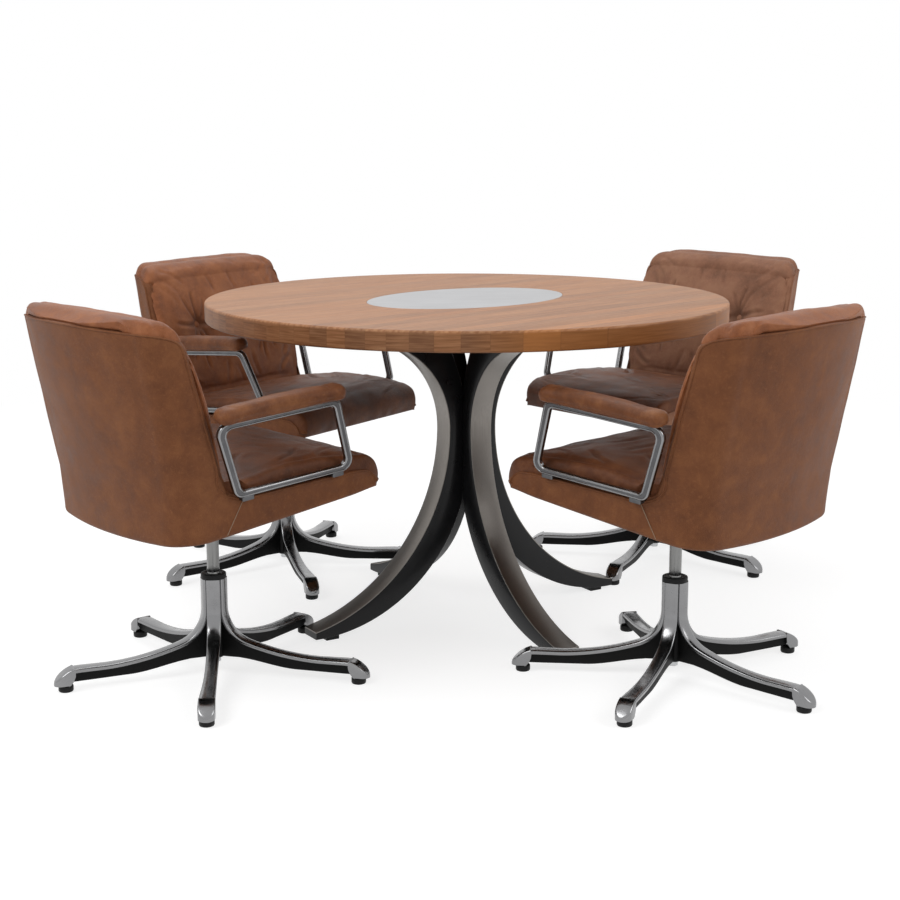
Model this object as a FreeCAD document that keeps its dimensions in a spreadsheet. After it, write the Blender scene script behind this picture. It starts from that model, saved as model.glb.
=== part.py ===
import FreeCAD, Part
import math
import os
import re

import Sketcher

# Round dining table on four bow-shaped legs, with four swivel armchairs standing around it.
# Millimetres, +Z up, floor at z = 0, origin at the middle of the floor that the set covers.

os.makedirs("parts", exist_ok=True)
doc = FreeCAD.newDocument("dining_set")
Vector = FreeCAD.Vector

# ---------------------------------------------------------------- driving sizes
sizes = {
    # table: its axis in the set's frame, and its top
    "table_x": 11.7,
    "table_y": -28.5,
    "table_height": 755,
    "top_radius": 600,
    "top_thick": 44,
    "top_round": 4,
    # steel plate let into the top: an ellipse whose long axis runs with the grain
    "inset_long": 264,
    "inset_short": 182,
    "inset_thick": 3,
    "grain_angle": 45,
    # bow legs: the hollow face and the back are each two arcs of the radial plane that meet upright
    "leg_count": 4,
    "leg_angle": 32,
    "leg_width": 57,
    "face_near": 61.5,
    "face_level": 456,
    "face_low_radius": 441,
    "face_high_radius": 215,
    "back_near": 9,
    "back_level": 404,
    "back_low_radius": 396.5,
    "back_high_radius": 570,
    "leg_tip": 418,
    "leg_reach": 285,
    "facing_thick": 2,
    "core_low": 330,
    "core_high": 530,
    "leg_glide_in": 357,
    "leg_glide_out": 389,
    "leg_glide_width": 46,
    # steel cross under the top
    "cross_reach": 335,
    "cross_thick": 6,
    "screw_near": 300,
    "screw_far": 322,
    "screw_radius": 3,
    "screw_depth": 24,
    "screw_head": 6,
    "screw_head_high": 4,
    # star base of a chair: one casting with five arms
    "arm_count": 5,
    "hub_radius": 27,
    "hub_top": 211,
    "hub_bottom": 36,
    "hub_floor": 46,
    "hub_core": 20,
    "bore_radius": 17,
    "rib_half": 14.8,
    "bend_top": 143,
    "bend_radius": 70,
    "bend_turn": 73,
    "arm_flat_start": 233,
    "arm_flat_end": 300,
    "arm_top": 50.5,
    "arm_bottom": 21,
    "arm_root": 38,
    "foot_tip": 339.5,
    "foot_low": 14,
    "foot_heel": 300,
    "waist_radius": 4200,
    "foot_half": 17,
    "flange_deep": 9,
    "flange_round": 3,
    "web_half": 8.5,
    "foot_glide_at": 318,
    "foot_glide_radius": 15.5,
    # swivel: bush, spindle and nut
    "bush_high": 9.5,
    "bush_radius": 26.5,
    "spindle_radius": 13,
    "running_gap": 0.05,
    "end_gap": 0.2,
    "stem_radius": 6,
    "stem_low": 23,
    "washer_radius": 13,
    "washer_thick": 2.5,
    "nut_high": 9,
    "nut_corner": 11,
    # seat plate that carries the shell
    "plate_long": 190,
    "plate_wide": 170,
    "plate_thick": 5,
    "socket_radius": 19,
    # upholstered shell, measured from the swivel axis; y forward
    "shell_wall": 14,
    "shell_slope": 6.8,
    "wing_round": 40,
    "shell_top_round": 46.5,
    "shell_top_corner": 220,
    "shell_top_high": 773.5,
    "cushion_top_round": 43,
    "cushion_top_corner": 205,
    "cushion_top_high": 798,
    "floor_front_y": 252,
    "floor_front_z": 410,
    "floor_thick": 12,
    "fit_gap": 0.6,
    # arm loops and pads
    "arm_x": 259,
    "arm_y": 29.5,
    "arm_z": 459.5,
    "arm_tilt": 9.8,
    "arm_pitch": 4.1,
    "arm_thick": 12,
    "loop_low_half": 136,
    "loop_high_rear": -187,
    "loop_high_front": 91,
    "loop_high": 147,
    "rail_half": 6.5,
    "post_half": 9,
    "loop_corner": 22,
    "loop_inner_corner": 11,
    "loop_edge": 4,
    "channel_rim": 4.6,
    "channel_deep": 1.4,
    "channel_corner": 13,
    "pad_wide": 46,
    "pad_thick": 30,
    "pad_end": 8,
    "pad_round": 7,
    "lug_y": 104,
    "lug_long": 28,
    "lug_deep": 13,
    "lug_wide": 26,
}

# each chair: axis of its swivel from the table's axis, way it faces, and way its first star arm points
chairs = {
    "front_left": {"x": -539.1, "y": -432.5, "facing": 42.1, "star": 58.7},
    "front_right": {"x": 434.5, "y": -459.6, "facing": 136.3, "star": 101.5},
    "back_left": {"x": -475.1, "y": 410.0, "facing": -33.2, "star": -0.4},
    "back_right": {"x": 515.3, "y": 520.1, "facing": -140.0, "star": 28.3},
}
for chair, place in chairs.items():
    for key, value in place.items():
        sizes[f"{chair}_{key}"] = value

sheet = doc.addObject("Spreadsheet::Sheet", "Sizes")
for row, (name, value) in enumerate(sizes.items(), start=1):
    sheet.set(f"A{row}", name)
    sheet.set(f"B{row}", str(value))
    sheet.setAlias(f"B{row}", name)
doc.recompute()


# ---------------------------------------------------------------- small tools
def bound(text):
    """An expression with every size's name turned into its cell in the sheet."""
    return re.sub(r"[a-z][a-z_0-9]*", lambda m: "Sizes." + m.group() if m.group() in sizes else m.group(),
                  str(text))


def number(text):
    """The value of such an expression now."""
    return float(sheet.evalExpression(bound(text)))


def bind(thing, **expressions):
    for prop, text in expressions.items():
        thing.setExpression(prop, bound(text))


def newSketch(body, name, role, offset="0"):
    """A sketch on one of the body's own origin planes, moved along that plane's normal."""
    sketch = body.newObject("Sketcher::SketchObject", f"{body.Name}_{name}")
    plane = next(f for f in body.Origin.OriginFeatures if f.Role == role)
    sketch.AttachmentSupport = [(plane, "")]
    sketch.MapMode = "FlatFace"
    sketch.setExpression("AttachmentOffset.Base.z", bound(offset))
    return sketch


def freeSketch(name, high):
    """A level sketch outside any body, at a height of its own."""
    sketch = doc.addObject("Sketcher::SketchObject", name)
    sketch.setExpression("Placement.Base.z", bound(high))
    return sketch


def arcMiddle(start, end, radius):
    """A point in the middle of an arc; a positive radius bulges to the right of the way it runs."""
    chord = end - start
    half = chord.Length / 2
    rise = abs(radius) - math.sqrt(max(radius * radius - half * half, 0.0))
    side = Vector(chord.y, -chord.x, 0).normalize() * math.copysign(rise, radius)
    return (start + end) / 2 + side


def outline(sketch, corners):
    """A closed outline. Each corner is (x, y) or (x, y, radius of the arc that leaves it)."""
    points = [Vector(number(c[0]), number(c[1]), 0) for c in corners]
    edges = []
    for i, corner in enumerate(corners):
        start, end = points[i], points[(i + 1) % len(points)]
        if len(corner) == 3:
            shape = Part.Arc(start, arcMiddle(start, end, number(corner[2])), end)
        else:
            shape = Part.LineSegment(start, end)
        edges.append(sketch.addGeometry(shape))

    def finish(edge, point):
        return 1 if sketch.getPoint(edge, 1).distanceToPoint(point) < 1e-6 else 2

    for i, corner in enumerate(corners):
        edge, before = edges[i], edges[i - 1]
        here = finish(edge, points[i])
        sketch.addConstraint(Sketcher.Constraint("Coincident", before, finish(before, points[i]), edge, here))
        for kind, axis in (("DistanceX", 0), ("DistanceY", 1)):
            index = sketch.addConstraint(Sketcher.Constraint(kind, -1, 1, edge, here, points[i][axis]))
            sketch.setExpression(f"Constraints[{index}]", bound(corner[axis]))
        if len(corner) == 3:
            index = sketch.addConstraint(Sketcher.Constraint("Radius", edge, abs(number(corner[2]))))
            sketch.setExpression(f"Constraints[{index}]", bound(f"abs({corner[2]})"))


def circle(sketch, x, y, radius):
    edge = sketch.addGeometry(Part.Circle(Vector(number(x), number(y), 0), Vector(0, 0, 1), number(radius)))
    for kind, text, value in (("DistanceX", x, number(x)), ("DistanceY", y, number(y))):
        index = sketch.addConstraint(Sketcher.Constraint(kind, -1, 1, edge, 3, value))
        sketch.setExpression(f"Constraints[{index}]", bound(text))
    index = sketch.addConstraint(Sketcher.Constraint("Radius", edge, number(radius)))
    sketch.setExpression(f"Constraints[{index}]", bound(radius))


def newBody(label):
    body = doc.addObject("PartDesign::Body", label)
    body.AllowCompound = True
    return body


def feature(body, kind, name, sketch, length=None, both=False, flip=False, through=False):
    """A Pad, Pocket or Revolution of the sketch."""
    made = body.newObject(f"PartDesign::{kind}", f"{body.Name}_{name}")
    made.Profile = sketch
    if both:
        made.SideType = "Symmetric"
    if through:
        made.Type = "ThroughAll"
    if length is not None:
        made.setExpression("Length", bound(length))
    made.Reversed = flip
    doc.recompute()
    return made


def revolve(body, name, corners):
    """A solid of revolution about Z of an outline in the XZ plane."""
    sketch = newSketch(body, name + "_profile", "XZ_Plane")
    outline(sketch, corners)
    made = body.newObject("PartDesign::Revolution", f"{body.Name}_{name}")
    made.Profile = sketch
    made.ReferenceAxis = (sketch, ["V_Axis"])
    made.Angle = 360
    doc.recompute()
    return made


def around(body, name, count, first=None):
    """Repeats the body's solid, or one feature of it, around Z."""
    made = body.newObject("PartDesign::PolarPattern", f"{body.Name}_{name}")
    if first is None:
        made.TransformMode = "Whole shape"
    else:
        made.Originals = [first]
    axis = next(f for f in body.Origin.OriginFeatures if f.Role == "Z_Axis")
    made.Axis = (axis, [""])
    made.Angle = 360
    made.setExpression("Occurrences", bound(count))
    body.Tip = made
    doc.recompute()
    return made


def soften(body, name, before, radius, wanted, kind="Fillet"):
    """Rounds (or chamfers) every edge of the feature whose middle and direction pass the test."""
    names = []
    for i, edge in enumerate(before.Shape.Edges, start=1):
        middle = edge.valueAt((edge.FirstParameter + edge.LastParameter) / 2)
        if wanted(middle, edge):
            names.append(f"Edge{i}")
    made = body.newObject(f"PartDesign::{kind}", f"{body.Name}_{name}")
    made.Base = (before, names)
    made.setExpression("Radius" if kind == "Fillet" else "Size", bound(radius))
    doc.recompute()
    return made


def put(thing, x, y, angle):
    """Places a sub-part: its axis in the set's frame and its turn about Z."""
    thing.Placement = FreeCAD.Placement(Vector(0, 0, 0), FreeCAD.Rotation(Vector(0, 0, 1), 1))
    thing.setExpression("Placement.Base.x", bound(x))
    thing.setExpression("Placement.Base.y", bound(y))
    thing.setExpression("Placement.Rotation.Angle", bound(angle))
    subParts.append(thing)


def combine(kind, name, *things):
    """A Part boolean, compound or loft of the given objects."""
    made = doc.addObject(f"Part::{kind}", name)
    if kind in ("Cut", "Common"):
        made.Base, made.Tool = things
    elif kind == "Compound":
        made.Links = list(things)
    else:
        made.Shapes = list(things)
    doc.recompute()
    return made


subParts = []


# ---------------------------------------------------------------- table
def bowHeight(side, half, r, inward="0"):
    """Height at radius r of the low or high arc of a bow's face or back, moved inward by so much."""
    sign = "-" if half == "low" else "+"
    arc = f"({side}_{half}_radius - ({inward}))"
    return f"({side}_level {sign} sqrt({arc}^2 - (({r}) - {side}_near - {side}_{half}_radius)^2))"


def bowRadius(side, half, z):
    """Radius at height z of the low or high arc of a bow's face or back."""
    arc = f"{side}_{half}_radius"
    return f"({side}_near + {arc} - sqrt({arc}^2 - (({z}) - {side}_level)^2))"


crossLow = "table_height - top_thick - cross_thick"


def tableTop():
    body = newBody("table_top")
    disc = newSketch(body, "disc", "XY_Plane", "table_height - top_thick")
    circle(disc, "0", "0", "top_radius")
    slab = feature(body, "Pad", "slab", disc, "top_thick")
    soften(body, "rim", slab, "top_round", lambda middle, edge: edge.Length > 3000)
    recess = newSketch(body, "recess", "XY_Plane", "table_height")
    ellipse(recess)
    feature(body, "Pocket", "recess_cut", recess, "inset_thick")
    holes = newSketch(body, "holes", "XY_Plane", "table_height - top_thick")
    for at in ("screw_near", "screw_far"):
        circle(holes, f"{at} * cos(leg_angle)", f"{at} * sin(leg_angle)", "screw_radius")
    drilled = feature(body, "Pocket", "drilled", holes, "screw_depth", flip=True)
    around(body, "hole_set", "leg_count", drilled)
    put(body, "table_x", "table_y", "0")


def ellipse(sketch):
    """The inset's outline, with its long axis along the grain."""
    angle = math.radians(number("grain_angle"))
    along = Vector(math.cos(angle), math.sin(angle), 0)
    across = Vector(-along.y, along.x, 0)
    tips = along * number("inset_long"), across * number("inset_short")
    edge = sketch.addGeometry(Part.Ellipse(tips[0], tips[1], Vector(0, 0, 0)))
    sketch.exposeInternalGeometry(edge)
    sketch.addConstraint(Sketcher.Constraint("Coincident", edge, 3, -1, 1))
    index = sketch.addConstraint(Sketcher.Constraint("Distance", edge + 1, 2 * number("inset_long")))
    sketch.setExpression(f"Constraints[{index}]", bound("2 * inset_long"))
    index = sketch.addConstraint(Sketcher.Constraint("Distance", edge + 2, 2 * number("inset_short")))
    sketch.setExpression(f"Constraints[{index}]", bound("2 * inset_short"))


def tableInset():
    body = newBody("table_inset")
    plate = newSketch(body, "plate", "XY_Plane", "table_height - inset_thick")
    ellipse(plate)
    feature(body, "Pad", "sheet", plate, "inset_thick")
    put(body, "table_x", "table_y", "0")


def tableLeg(label, quarter):
    """A bow: hollow face outward, flat where the four backs meet, level arm under the table's top."""
    body = newBody(label)
    side = newSketch(body, "side", "XZ_Plane")
    flat = "leg_width / 2"
    outline(side, [
        ("leg_tip", bowHeight("back", "low", "leg_tip")),
        ("leg_tip", bowHeight("face", "low", "leg_tip"), "-face_low_radius"),
        ("face_near", "face_level", "-face_high_radius"),
        ("face_near + face_high_radius", "face_level + face_high_radius"),
        ("leg_reach", "face_level + face_high_radius"),
        ("leg_reach", crossLow),
        (bowRadius("back", "high", crossLow), crossLow, "back_high_radius"),
        (flat, bowHeight("back", "high", flat)),
        (flat, bowHeight("back", "low", flat), "back_low_radius"),
    ])
    feature(body, "Pad", "bar", side, "leg_width", both=True)
    put(body, "table_x", "table_y", f"leg_angle + {quarter} * 90")


def legFacings():
    """Steel strips on the hollow faces of the bows."""
    body = newBody("table_leg_facings")
    side = newSketch(body, "side", "XZ_Plane")
    outline(side, [
        ("leg_tip", bowHeight("face", "low", "leg_tip")),
        ("leg_tip", bowHeight("face", "low", "leg_tip", "facing_thick"), "-(face_low_radius - facing_thick)"),
        ("face_near + facing_thick", "face_level", "-(face_high_radius - facing_thick)"),
        ("face_near + face_high_radius", "face_level + face_high_radius - facing_thick"),
        ("leg_reach", "face_level + face_high_radius - facing_thick"),
        ("leg_reach", "face_level + face_high_radius"),
        ("face_near + face_high_radius", "face_level + face_high_radius", "face_high_radius"),
        ("face_near", "face_level", "face_low_radius"),
    ])
    feature(body, "Pad", "strip", side, "leg_width", both=True)
    around(body, "strips", "leg_count")
    put(body, "table_x", "table_y", "leg_angle")


def legCore():
    body = newBody("table_leg_core")
    square = newSketch(body, "square", "XY_Plane", "core_low")
    half = "leg_width / 2"
    outline(square, [(half, half), (f"-{half}", half), (f"-{half}", f"-{half}"), (half, f"-{half}")])
    feature(body, "Pad", "block", square, "core_high - core_low")
    put(body, "table_x", "table_y", "leg_angle")


def legGlides():
    """Floor pads under the tips, hollowed on top to the bows' backs."""
    body = newBody("table_leg_glides")
    side = newSketch(body, "side", "XZ_Plane")
    outline(side, [
        ("leg_glide_in", "0"),
        ("leg_glide_out", "0"),
        ("leg_glide_out", bowHeight("back", "low", "leg_glide_out"), "-back_low_radius"),
        ("leg_glide_in", bowHeight("back", "low", "leg_glide_in")),
    ])
    feature(body, "Pad", "pad", side, "leg_glide_width", both=True)
    around(body, "pads", "leg_count")
    put(body, "table_x", "table_y", "leg_angle")


def topCross():
    body = newBody("table_top_cross")
    bar = newSketch(body, "bar", "XY_Plane", crossLow)
    reach, half = "cross_reach", "leg_width / 2"
    outline(bar, [(reach, half), (f"-{reach}", half), (f"-{reach}", f"-{half}"), (reach, f"-{half}")])
    for at in ("screw_near", "screw_far", "-screw_near", "-screw_far"):
        circle(bar, at, "0", "screw_radius")
    feature(body, "Pad", "bar_pad", bar, "cross_thick")
    cross = body.newObject("PartDesign::PolarPattern", "table_top_cross_arms")
    cross.TransformMode = "Whole shape"
    cross.Axis = (next(f for f in body.Origin.OriginFeatures if f.Role == "Z_Axis"), [""])
    cross.Angle = 90
    cross.Occurrences = 2
    body.Tip = cross
    doc.recompute()
    put(body, "table_x", "table_y", "leg_angle")


def topScrews():
    """Wood screws through the cross into the top, two in each arm of the cross."""
    body = newBody("table_top_screws")
    shank = newSketch(body, "shank", "XY_Plane", crossLow)
    head = newSketch(body, "head", "XY_Plane", crossLow)
    for at in ("screw_near", "screw_far"):
        circle(shank, at, "0", "screw_radius")
        circle(head, at, "0", "screw_head")
    feature(body, "Pad", "shanks", shank, "cross_thick + screw_depth")
    feature(body, "Pad", "heads", head, "screw_head_high", flip=True)
    around(body, "set", "leg_count")
    put(body, "table_x", "table_y", "leg_angle")


# ---------------------------------------------------------------- star base of a chair
def starBase(chair):
    """Casting: five arms that leave the hub as upright ribs, bend out and run nearly level."""
    body = newBody(f"{chair}_star_base")
    bendX = "hub_radius + bend_radius * (1 - cos(bend_turn))"
    bendZ = "bend_top - bend_radius * sin(bend_turn)"
    side = newSketch(body, "side", "XZ_Plane")
    outline(side, [
        ("bore_radius + 1", "hub_top"),
        ("hub_radius", "hub_top"),
        ("hub_radius", "bend_top", "bend_radius"),
        (bendX, bendZ, "540"),
        ("arm_flat_start", "arm_top - 1"),
        ("arm_flat_end", "arm_top", "-40"),
        ("foot_tip + 3", "foot_low + 14"),
        ("foot_tip + 3", "foot_low"),
        ("foot_heel", "foot_low"),
        ("foot_heel - 5", "arm_bottom + 1"),
        ("arm_flat_start - 60", "arm_bottom", "-520"),
        ("hub_core + 20", "arm_root"),
        ("bore_radius + 1", "arm_root"),
    ])
    arm = feature(body, "Pad", "arm", side, "2 * foot_half + 2", both=True)

    plan = newSketch(body, "plan", "XY_Plane")
    outline(plan, [("-20", "-60"), ("foot_tip + 40", "-60"), ("foot_tip + 40", "60"), ("-20", "60")])
    shoulder = "foot_tip - foot_half"
    outline(plan, [
        ("5", "-rib_half", "-waist_radius"),
        (shoulder, "-foot_half", "foot_half"),
        ("foot_tip", "0", "foot_half"),
        (shoulder, "foot_half", "-waist_radius"),
        ("5", "rib_half"),
    ])
    waisted = feature(body, "Pocket", "waist", plan, both=True, through=True)

    def topEdge(middle, edge):
        """Both long edges of the arm's outer surface, from the hub's top to the foot's tip."""
        corners = [v.Point for v in edge.Vertexes]
        upright = abs(corners[0].x - corners[-1].x) < 0.5 < abs(corners[0].z - corners[-1].z)
        post = upright and middle.x > number("hub_radius") + 1
        nose = middle.x > number("foot_tip") - 1
        outside = (abs(middle.y) > 8 or nose) and middle.z > number("arm_bottom") + 6
        root = middle.x < number("hub_radius + bend_radius") and middle.z < number("arm_root") + 10
        return outside and not post and not root and middle.x > number("hub_radius") - 1
    crowned = soften(body, "crown", waisted, "flange_round", topEdge)

    for name, offset, flip in (("right", "web_half", False), ("left", "-web_half", True)):
        recess = newSketch(body, f"recess_{name}", "XZ_Plane", offset)
        lowX = "hub_radius + bend_radius - (bend_radius + flange_deep) * cos(bend_turn)"
        lowZ = "bend_top - (bend_radius + flange_deep) * sin(bend_turn)"
        outline(recess, [
            ("bore_radius", "bend_top"),
            ("hub_radius - flange_deep", "bend_top", "bend_radius + flange_deep"),
            (lowX, lowZ, "549"),
            ("arm_flat_start", "arm_top - 1 - flange_deep"),
            ("foot_heel - 22", "arm_top - flange_deep", "-24"),
            ("foot_heel - 3", "arm_bottom"),
            ("foot_heel - 3", "-5"),
            ("bore_radius", "-5"),
        ])
        crowned = feature(body, "Pocket", f"web_{name}", recess, "40", flip=not flip)

    around(body, "arms", "arm_count")
    revolve(body, "core", [
        ("stem_radius + 0.1", "hub_bottom"),
        ("hub_core", "hub_bottom"),
        ("hub_core", "hub_top"),
        ("bore_radius", "hub_top"),
        ("bore_radius", "hub_floor"),
        ("stem_radius + 0.1", "hub_floor"),
    ])
    put(body, f"table_x + {chair}_x", f"table_y + {chair}_y", f"{chair}_star")


def hubBush(chair):
    body = newBody(f"{chair}_hub_bush")
    inner = "spindle_radius + running_gap"
    revolve(body, "sleeve", [
        (inner, "hub_floor"),
        ("bore_radius", "hub_floor"),
        ("bore_radius", "hub_top"),
        ("bush_radius", "hub_top"),
        ("bush_radius", "hub_top + bush_high - 2"),
        ("bush_radius - 2", "hub_top + bush_high"),
        (f"{inner} + 2", "hub_top + bush_high"),
        (inner, "hub_top + bush_high - 2"),
    ])
    put(body, f"table_x + {chair}_x", f"table_y + {chair}_y", f"{chair}_star")


def footGlides(chair):
    body = newBody(f"{chair}_foot_glides")
    disc = newSketch(body, "disc", "XY_Plane")
    circle(disc, "foot_glide_at", "0", "foot_glide_radius")
    pad = feature(body, "Pad", "pad", disc, "foot_low")
    soften(body, "edge", pad, "2", lambda middle, edge: middle.z < 0.1, kind="Chamfer")
    around(body, "pads", "arm_count")
    put(body, f"table_x + {chair}_x", f"table_y + {chair}_y", f"{chair}_star")


# ---------------------------------------------------------------- swivelling top of a chair
def floorAt(y, lift="0"):
    """Height of the shell's underside at y, plus a lift; the underside falls to the rear."""
    return f"(floor_front_z - (floor_front_y - ({y})) * tan(shell_slope) + {lift})"


plateTop = floorAt("-socket_radius", "(floor_thick + plate_thick) / cos(shell_slope)")


def seatPlace(thing, chair):
    put(thing, f"table_x + {chair}_x", f"table_y + {chair}_y", f"{chair}_facing - 90")


def spindle(chair):
    body = newBody(f"{chair}_spindle")
    low = "hub_floor + end_gap"
    revolve(body, "shaft", [
        ("0", "stem_low"),
        ("stem_radius - 1", "stem_low"),
        ("stem_radius", "stem_low + 1"),
        ("stem_radius", low),
        ("spindle_radius", low),
        ("spindle_radius", plateTop),
        ("0", plateTop),
    ])
    seatPlace(body, chair)


def spindleNut(chair):
    body = newBody(f"{chair}_spindle_nut")
    washerTop = "hub_bottom - end_gap"
    ring = newSketch(body, "ring", "XY_Plane", washerTop)
    circle(ring, "0", "0", "washer_radius")
    circle(ring, "0", "0", "stem_radius")
    feature(body, "Pad", "washer", ring, "washer_thick", flip=True)
    hexagon = newSketch(body, "hexagon", "XY_Plane", f"{washerTop} - washer_thick")
    outline(hexagon, [(f"nut_corner * cos({60 * k})", f"nut_corner * sin({60 * k})") for k in range(6)])
    circle(hexagon, "0", "0", "stem_radius")
    feature(body, "Pad", "nut", hexagon, "nut_high", flip=True)
    seatPlace(body, chair)


def seatPlate(chair):
    """Pressed plate that lies on the shell's floor, with an upright socket for the spindle."""
    name = f"{chair}_seat_plate"
    plate = doc.addObject("Part::Box", f"{name}_sheet")
    bind(plate, Length="plate_wide", Width="plate_long", Height="plate_thick")
    plate.Placement.Rotation = FreeCAD.Rotation(Vector(1, 0, 0), number("shell_slope"))
    plate.setExpression("Placement.Base.x", bound("-plate_wide / 2"))
    plate.setExpression("Placement.Base.y", bound("-plate_long / 2 * cos(shell_slope)"))
    plate.setExpression("Placement.Base.z",
                        bound(floorAt("-plate_long / 2 * cos(shell_slope)", "floor_thick / cos(shell_slope)")))
    socket = doc.addObject("Part::Cylinder", f"{name}_socket")
    bind(socket, Radius="socket_radius", Height=f"{plateTop} - {floorAt('0', '-6')}")
    socket.setExpression("Placement.Base.z", bound(floorAt("0", "-6")))
    bore = doc.addObject("Part::Cylinder", f"{name}_bore")
    bind(bore, Radius="spindle_radius", Height="100")
    bore.setExpression("Placement.Base.z", bound(floorAt("0", "-50")))
    doc.recompute()
    joined = combine("MultiFuse", f"{name}_joined", plate, socket)
    seatPlace(combine("Cut", name, joined, bore), chair)


# plan of the shell at five heights: half-width and y of the rear corner, y of the middle of the back,
# half-width of the side where it would pass y = 300, and how far from the corner its turn starts
shellLevels = [
    {"z": "335", "corner": "246", "corner_y": "-236", "back": "-252", "side": "257", "turn": "72"},
    {"z": "455", "corner": "244", "corner_y": "-243", "back": "-266", "side": "250", "turn": "58"},
    {"z": "560", "corner": "243.6", "corner_y": "-260", "back": "-292", "side": "422", "turn": "46"},
    {"z": "670", "corner": "242.6", "corner_y": "-280", "back": "-317", "side": "483", "turn": "40"},
    {"z": "810", "corner": "240", "corner_y": "-304", "back": "-348", "side": "534", "turn": "38"},
]


def shellForm(name, inward):
    """Solid inside the shell's outer surface moved inward by so much, open to the front and above."""
    sections = []
    for k, level in enumerate(shellLevels):
        section = freeSketch(f"{name}_{k}", level["z"])
        side = f"({level['side']} - {inward})"
        corner = f"({level['corner']} - {inward})"
        cornerY = f"({level['corner_y']} + {inward})"
        back = f"({level['back']} + {inward})"
        turn = level["turn"]
        reach = f"({corner} - {turn})"
        rise = f"({cornerY} - {back})"
        backRadius = f"(({reach})^2 + ({rise})^2) / (2 * {rise})"
        outline(section, [
            (side, "300"),
            (f"-{side}", "300"),
            (f"-{corner}", f"{cornerY} + {turn} - 2", f"1.2 * {turn}"),
            (f"-{reach}", cornerY, backRadius),
            (reach, cornerY, f"1.2 * {turn}"),
            (corner, f"{cornerY} + {turn} - 2"),
        ])
        sections.append(section)
    form = doc.addObject("Part::Loft", name)
    form.Sections = sections
    form.Solid = True
    form.Ruled = True
    doc.recompute()
    return form


def sideSlab(name, corners, half, stands=FreeCAD.Rotation(Vector(1, 1, 1), 120)):
    """A slab across the chair with the given outline in the YZ plane, or as its sketch stands."""
    sketch = doc.addObject("Sketcher::SketchObject", f"{name}_outline")
    sketch.Placement = FreeCAD.Placement(Vector(0, 0, 0), stands)
    outline(sketch, corners)
    slab = doc.addObject("Part::Extrusion", name)
    slab.Base = sketch
    slab.DirMode = "Normal"
    slab.Solid = True
    slab.Symmetric = True
    slab.setExpression("LengthFwd", bound(f"2 * ({half})"))
    doc.recompute()
    return slab


def roundedFront(name, piece, top):
    """The shell or back cushion with the top corners that it has when seen from the front."""
    corner, high, radius = f"{top}_corner", f"{top}_high", f"{top}_round"
    front = sideSlab(f"{name}_front", [
        (f"{corner} + {radius}", "300"),
        (f"{corner} + {radius}", f"{high} - {radius}", radius),
        (corner, high),
        ("0", f"{high} + 9"),
        (f"-{corner}", high, radius),
        (f"-{corner} - {radius}", f"{high} - {radius}"),
        (f"-{corner} - {radius}", "300"),
    ], "400", FreeCAD.Rotation(Vector(1, 0, 0), 90))
    return combine("Common", name, piece, front)


def seatShell(chair):
    """Bucket shell: back with side wings, low seat sides and a floor, in one covered moulding."""
    name = f"{chair}_seat_shell"
    silhouette = sideSlab(f"{name}_silhouette", [
        ("floor_front_y", "floor_front_z"),
        ("floor_front_y", "floor_front_z + 14", "45"),
        ("floor_front_y - 46", "452"),
        ("187", "453"),
        ("-92", "438"),
        ("-120", "447", "-40"),
        ("-146", "493"),
        ("-220.4", "742.7", "wing_round"),
        ("-254.2", "771"),
        ("-370", "784"),
        ("-370", floorAt("-370")),
    ], "300")
    hollow = sideSlab(f"{name}_hollow_side", [
        ("420", floorAt("420", "floor_thick / cos(shell_slope)")),
        ("420", "900"),
        ("-420", "900"),
        ("-420", floorAt("-420", "floor_thick / cos(shell_slope)")),
    ], "300")
    outer = combine("Common", f"{name}_outer", shellForm(f"{name}_form", "0"), silhouette)
    inner = combine("Common", f"{name}_inner", shellForm(f"{name}_void", "shell_wall"), hollow)
    bucket = combine("Cut", f"{name}_bucket", outer, inner)
    hole = doc.addObject("Part::Cylinder", f"{name}_hole")
    bind(hole, Radius="socket_radius", Height="100")
    hole.setExpression("Placement.Base.z", bound(floorAt("0", "-50")))
    seatPlace(roundedFront(name, combine("Cut", f"{name}_cut", bucket, hole), "shell_top"), chair)


def seatCushion(chair):
    """Seat cushion: an insert between the shell's sides and a crown that laps over them."""
    name = f"{chair}_seat_cushion"
    above = "floor_thick / cos(shell_slope) + plate_thick / cos(shell_slope) + fit_gap"
    insert = sideSlab(f"{name}_insert", [
        ("floor_front_y", floorAt("floor_front_y", above)),
        ("floor_front_y", "470"),
        ("-122", "460"),
        ("-122", floorAt("-122", above)),
    ], "248 - shell_wall - 6")
    crown = sideSlab(f"{name}_crown", [
        ("floor_front_y + 1", "floor_front_z"),
        ("259", "floor_front_z - 1", "60"),
        ("262", "446", "50"),
        ("214", "484", "900"),
        ("-88", "472"),
        ("-88", "440"),
        ("187", "454.5"),
        ("floor_front_y - 45.5", "453.5", "-46"),
        ("floor_front_y + 1", "floor_front_z + 14"),
    ], "243")
    seatPlace(combine("MultiFuse", name, insert, crown), chair)


def backCushion(chair):
    """Back cushion: fills the shell from wall to wall and rolls over its top edge."""
    name = f"{chair}_back_cushion"
    side = sideSlab(f"{name}_side", [
        ("-123", "474"),
        ("-150", "560", "600"),
        ("-215", "760", "40"),
        ("-262", "797", "60"),
        ("-316", "786"),
        ("-340", "786"),
        ("-340", "462"),
        ("-123", "462"),
    ], "300")
    filling = combine("Common", f"{name}_filling", shellForm(f"{name}_form", "(shell_wall + fit_gap)"), side)
    seatPlace(roundedFront(name, filling, "cushion_top"), chair)


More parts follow.
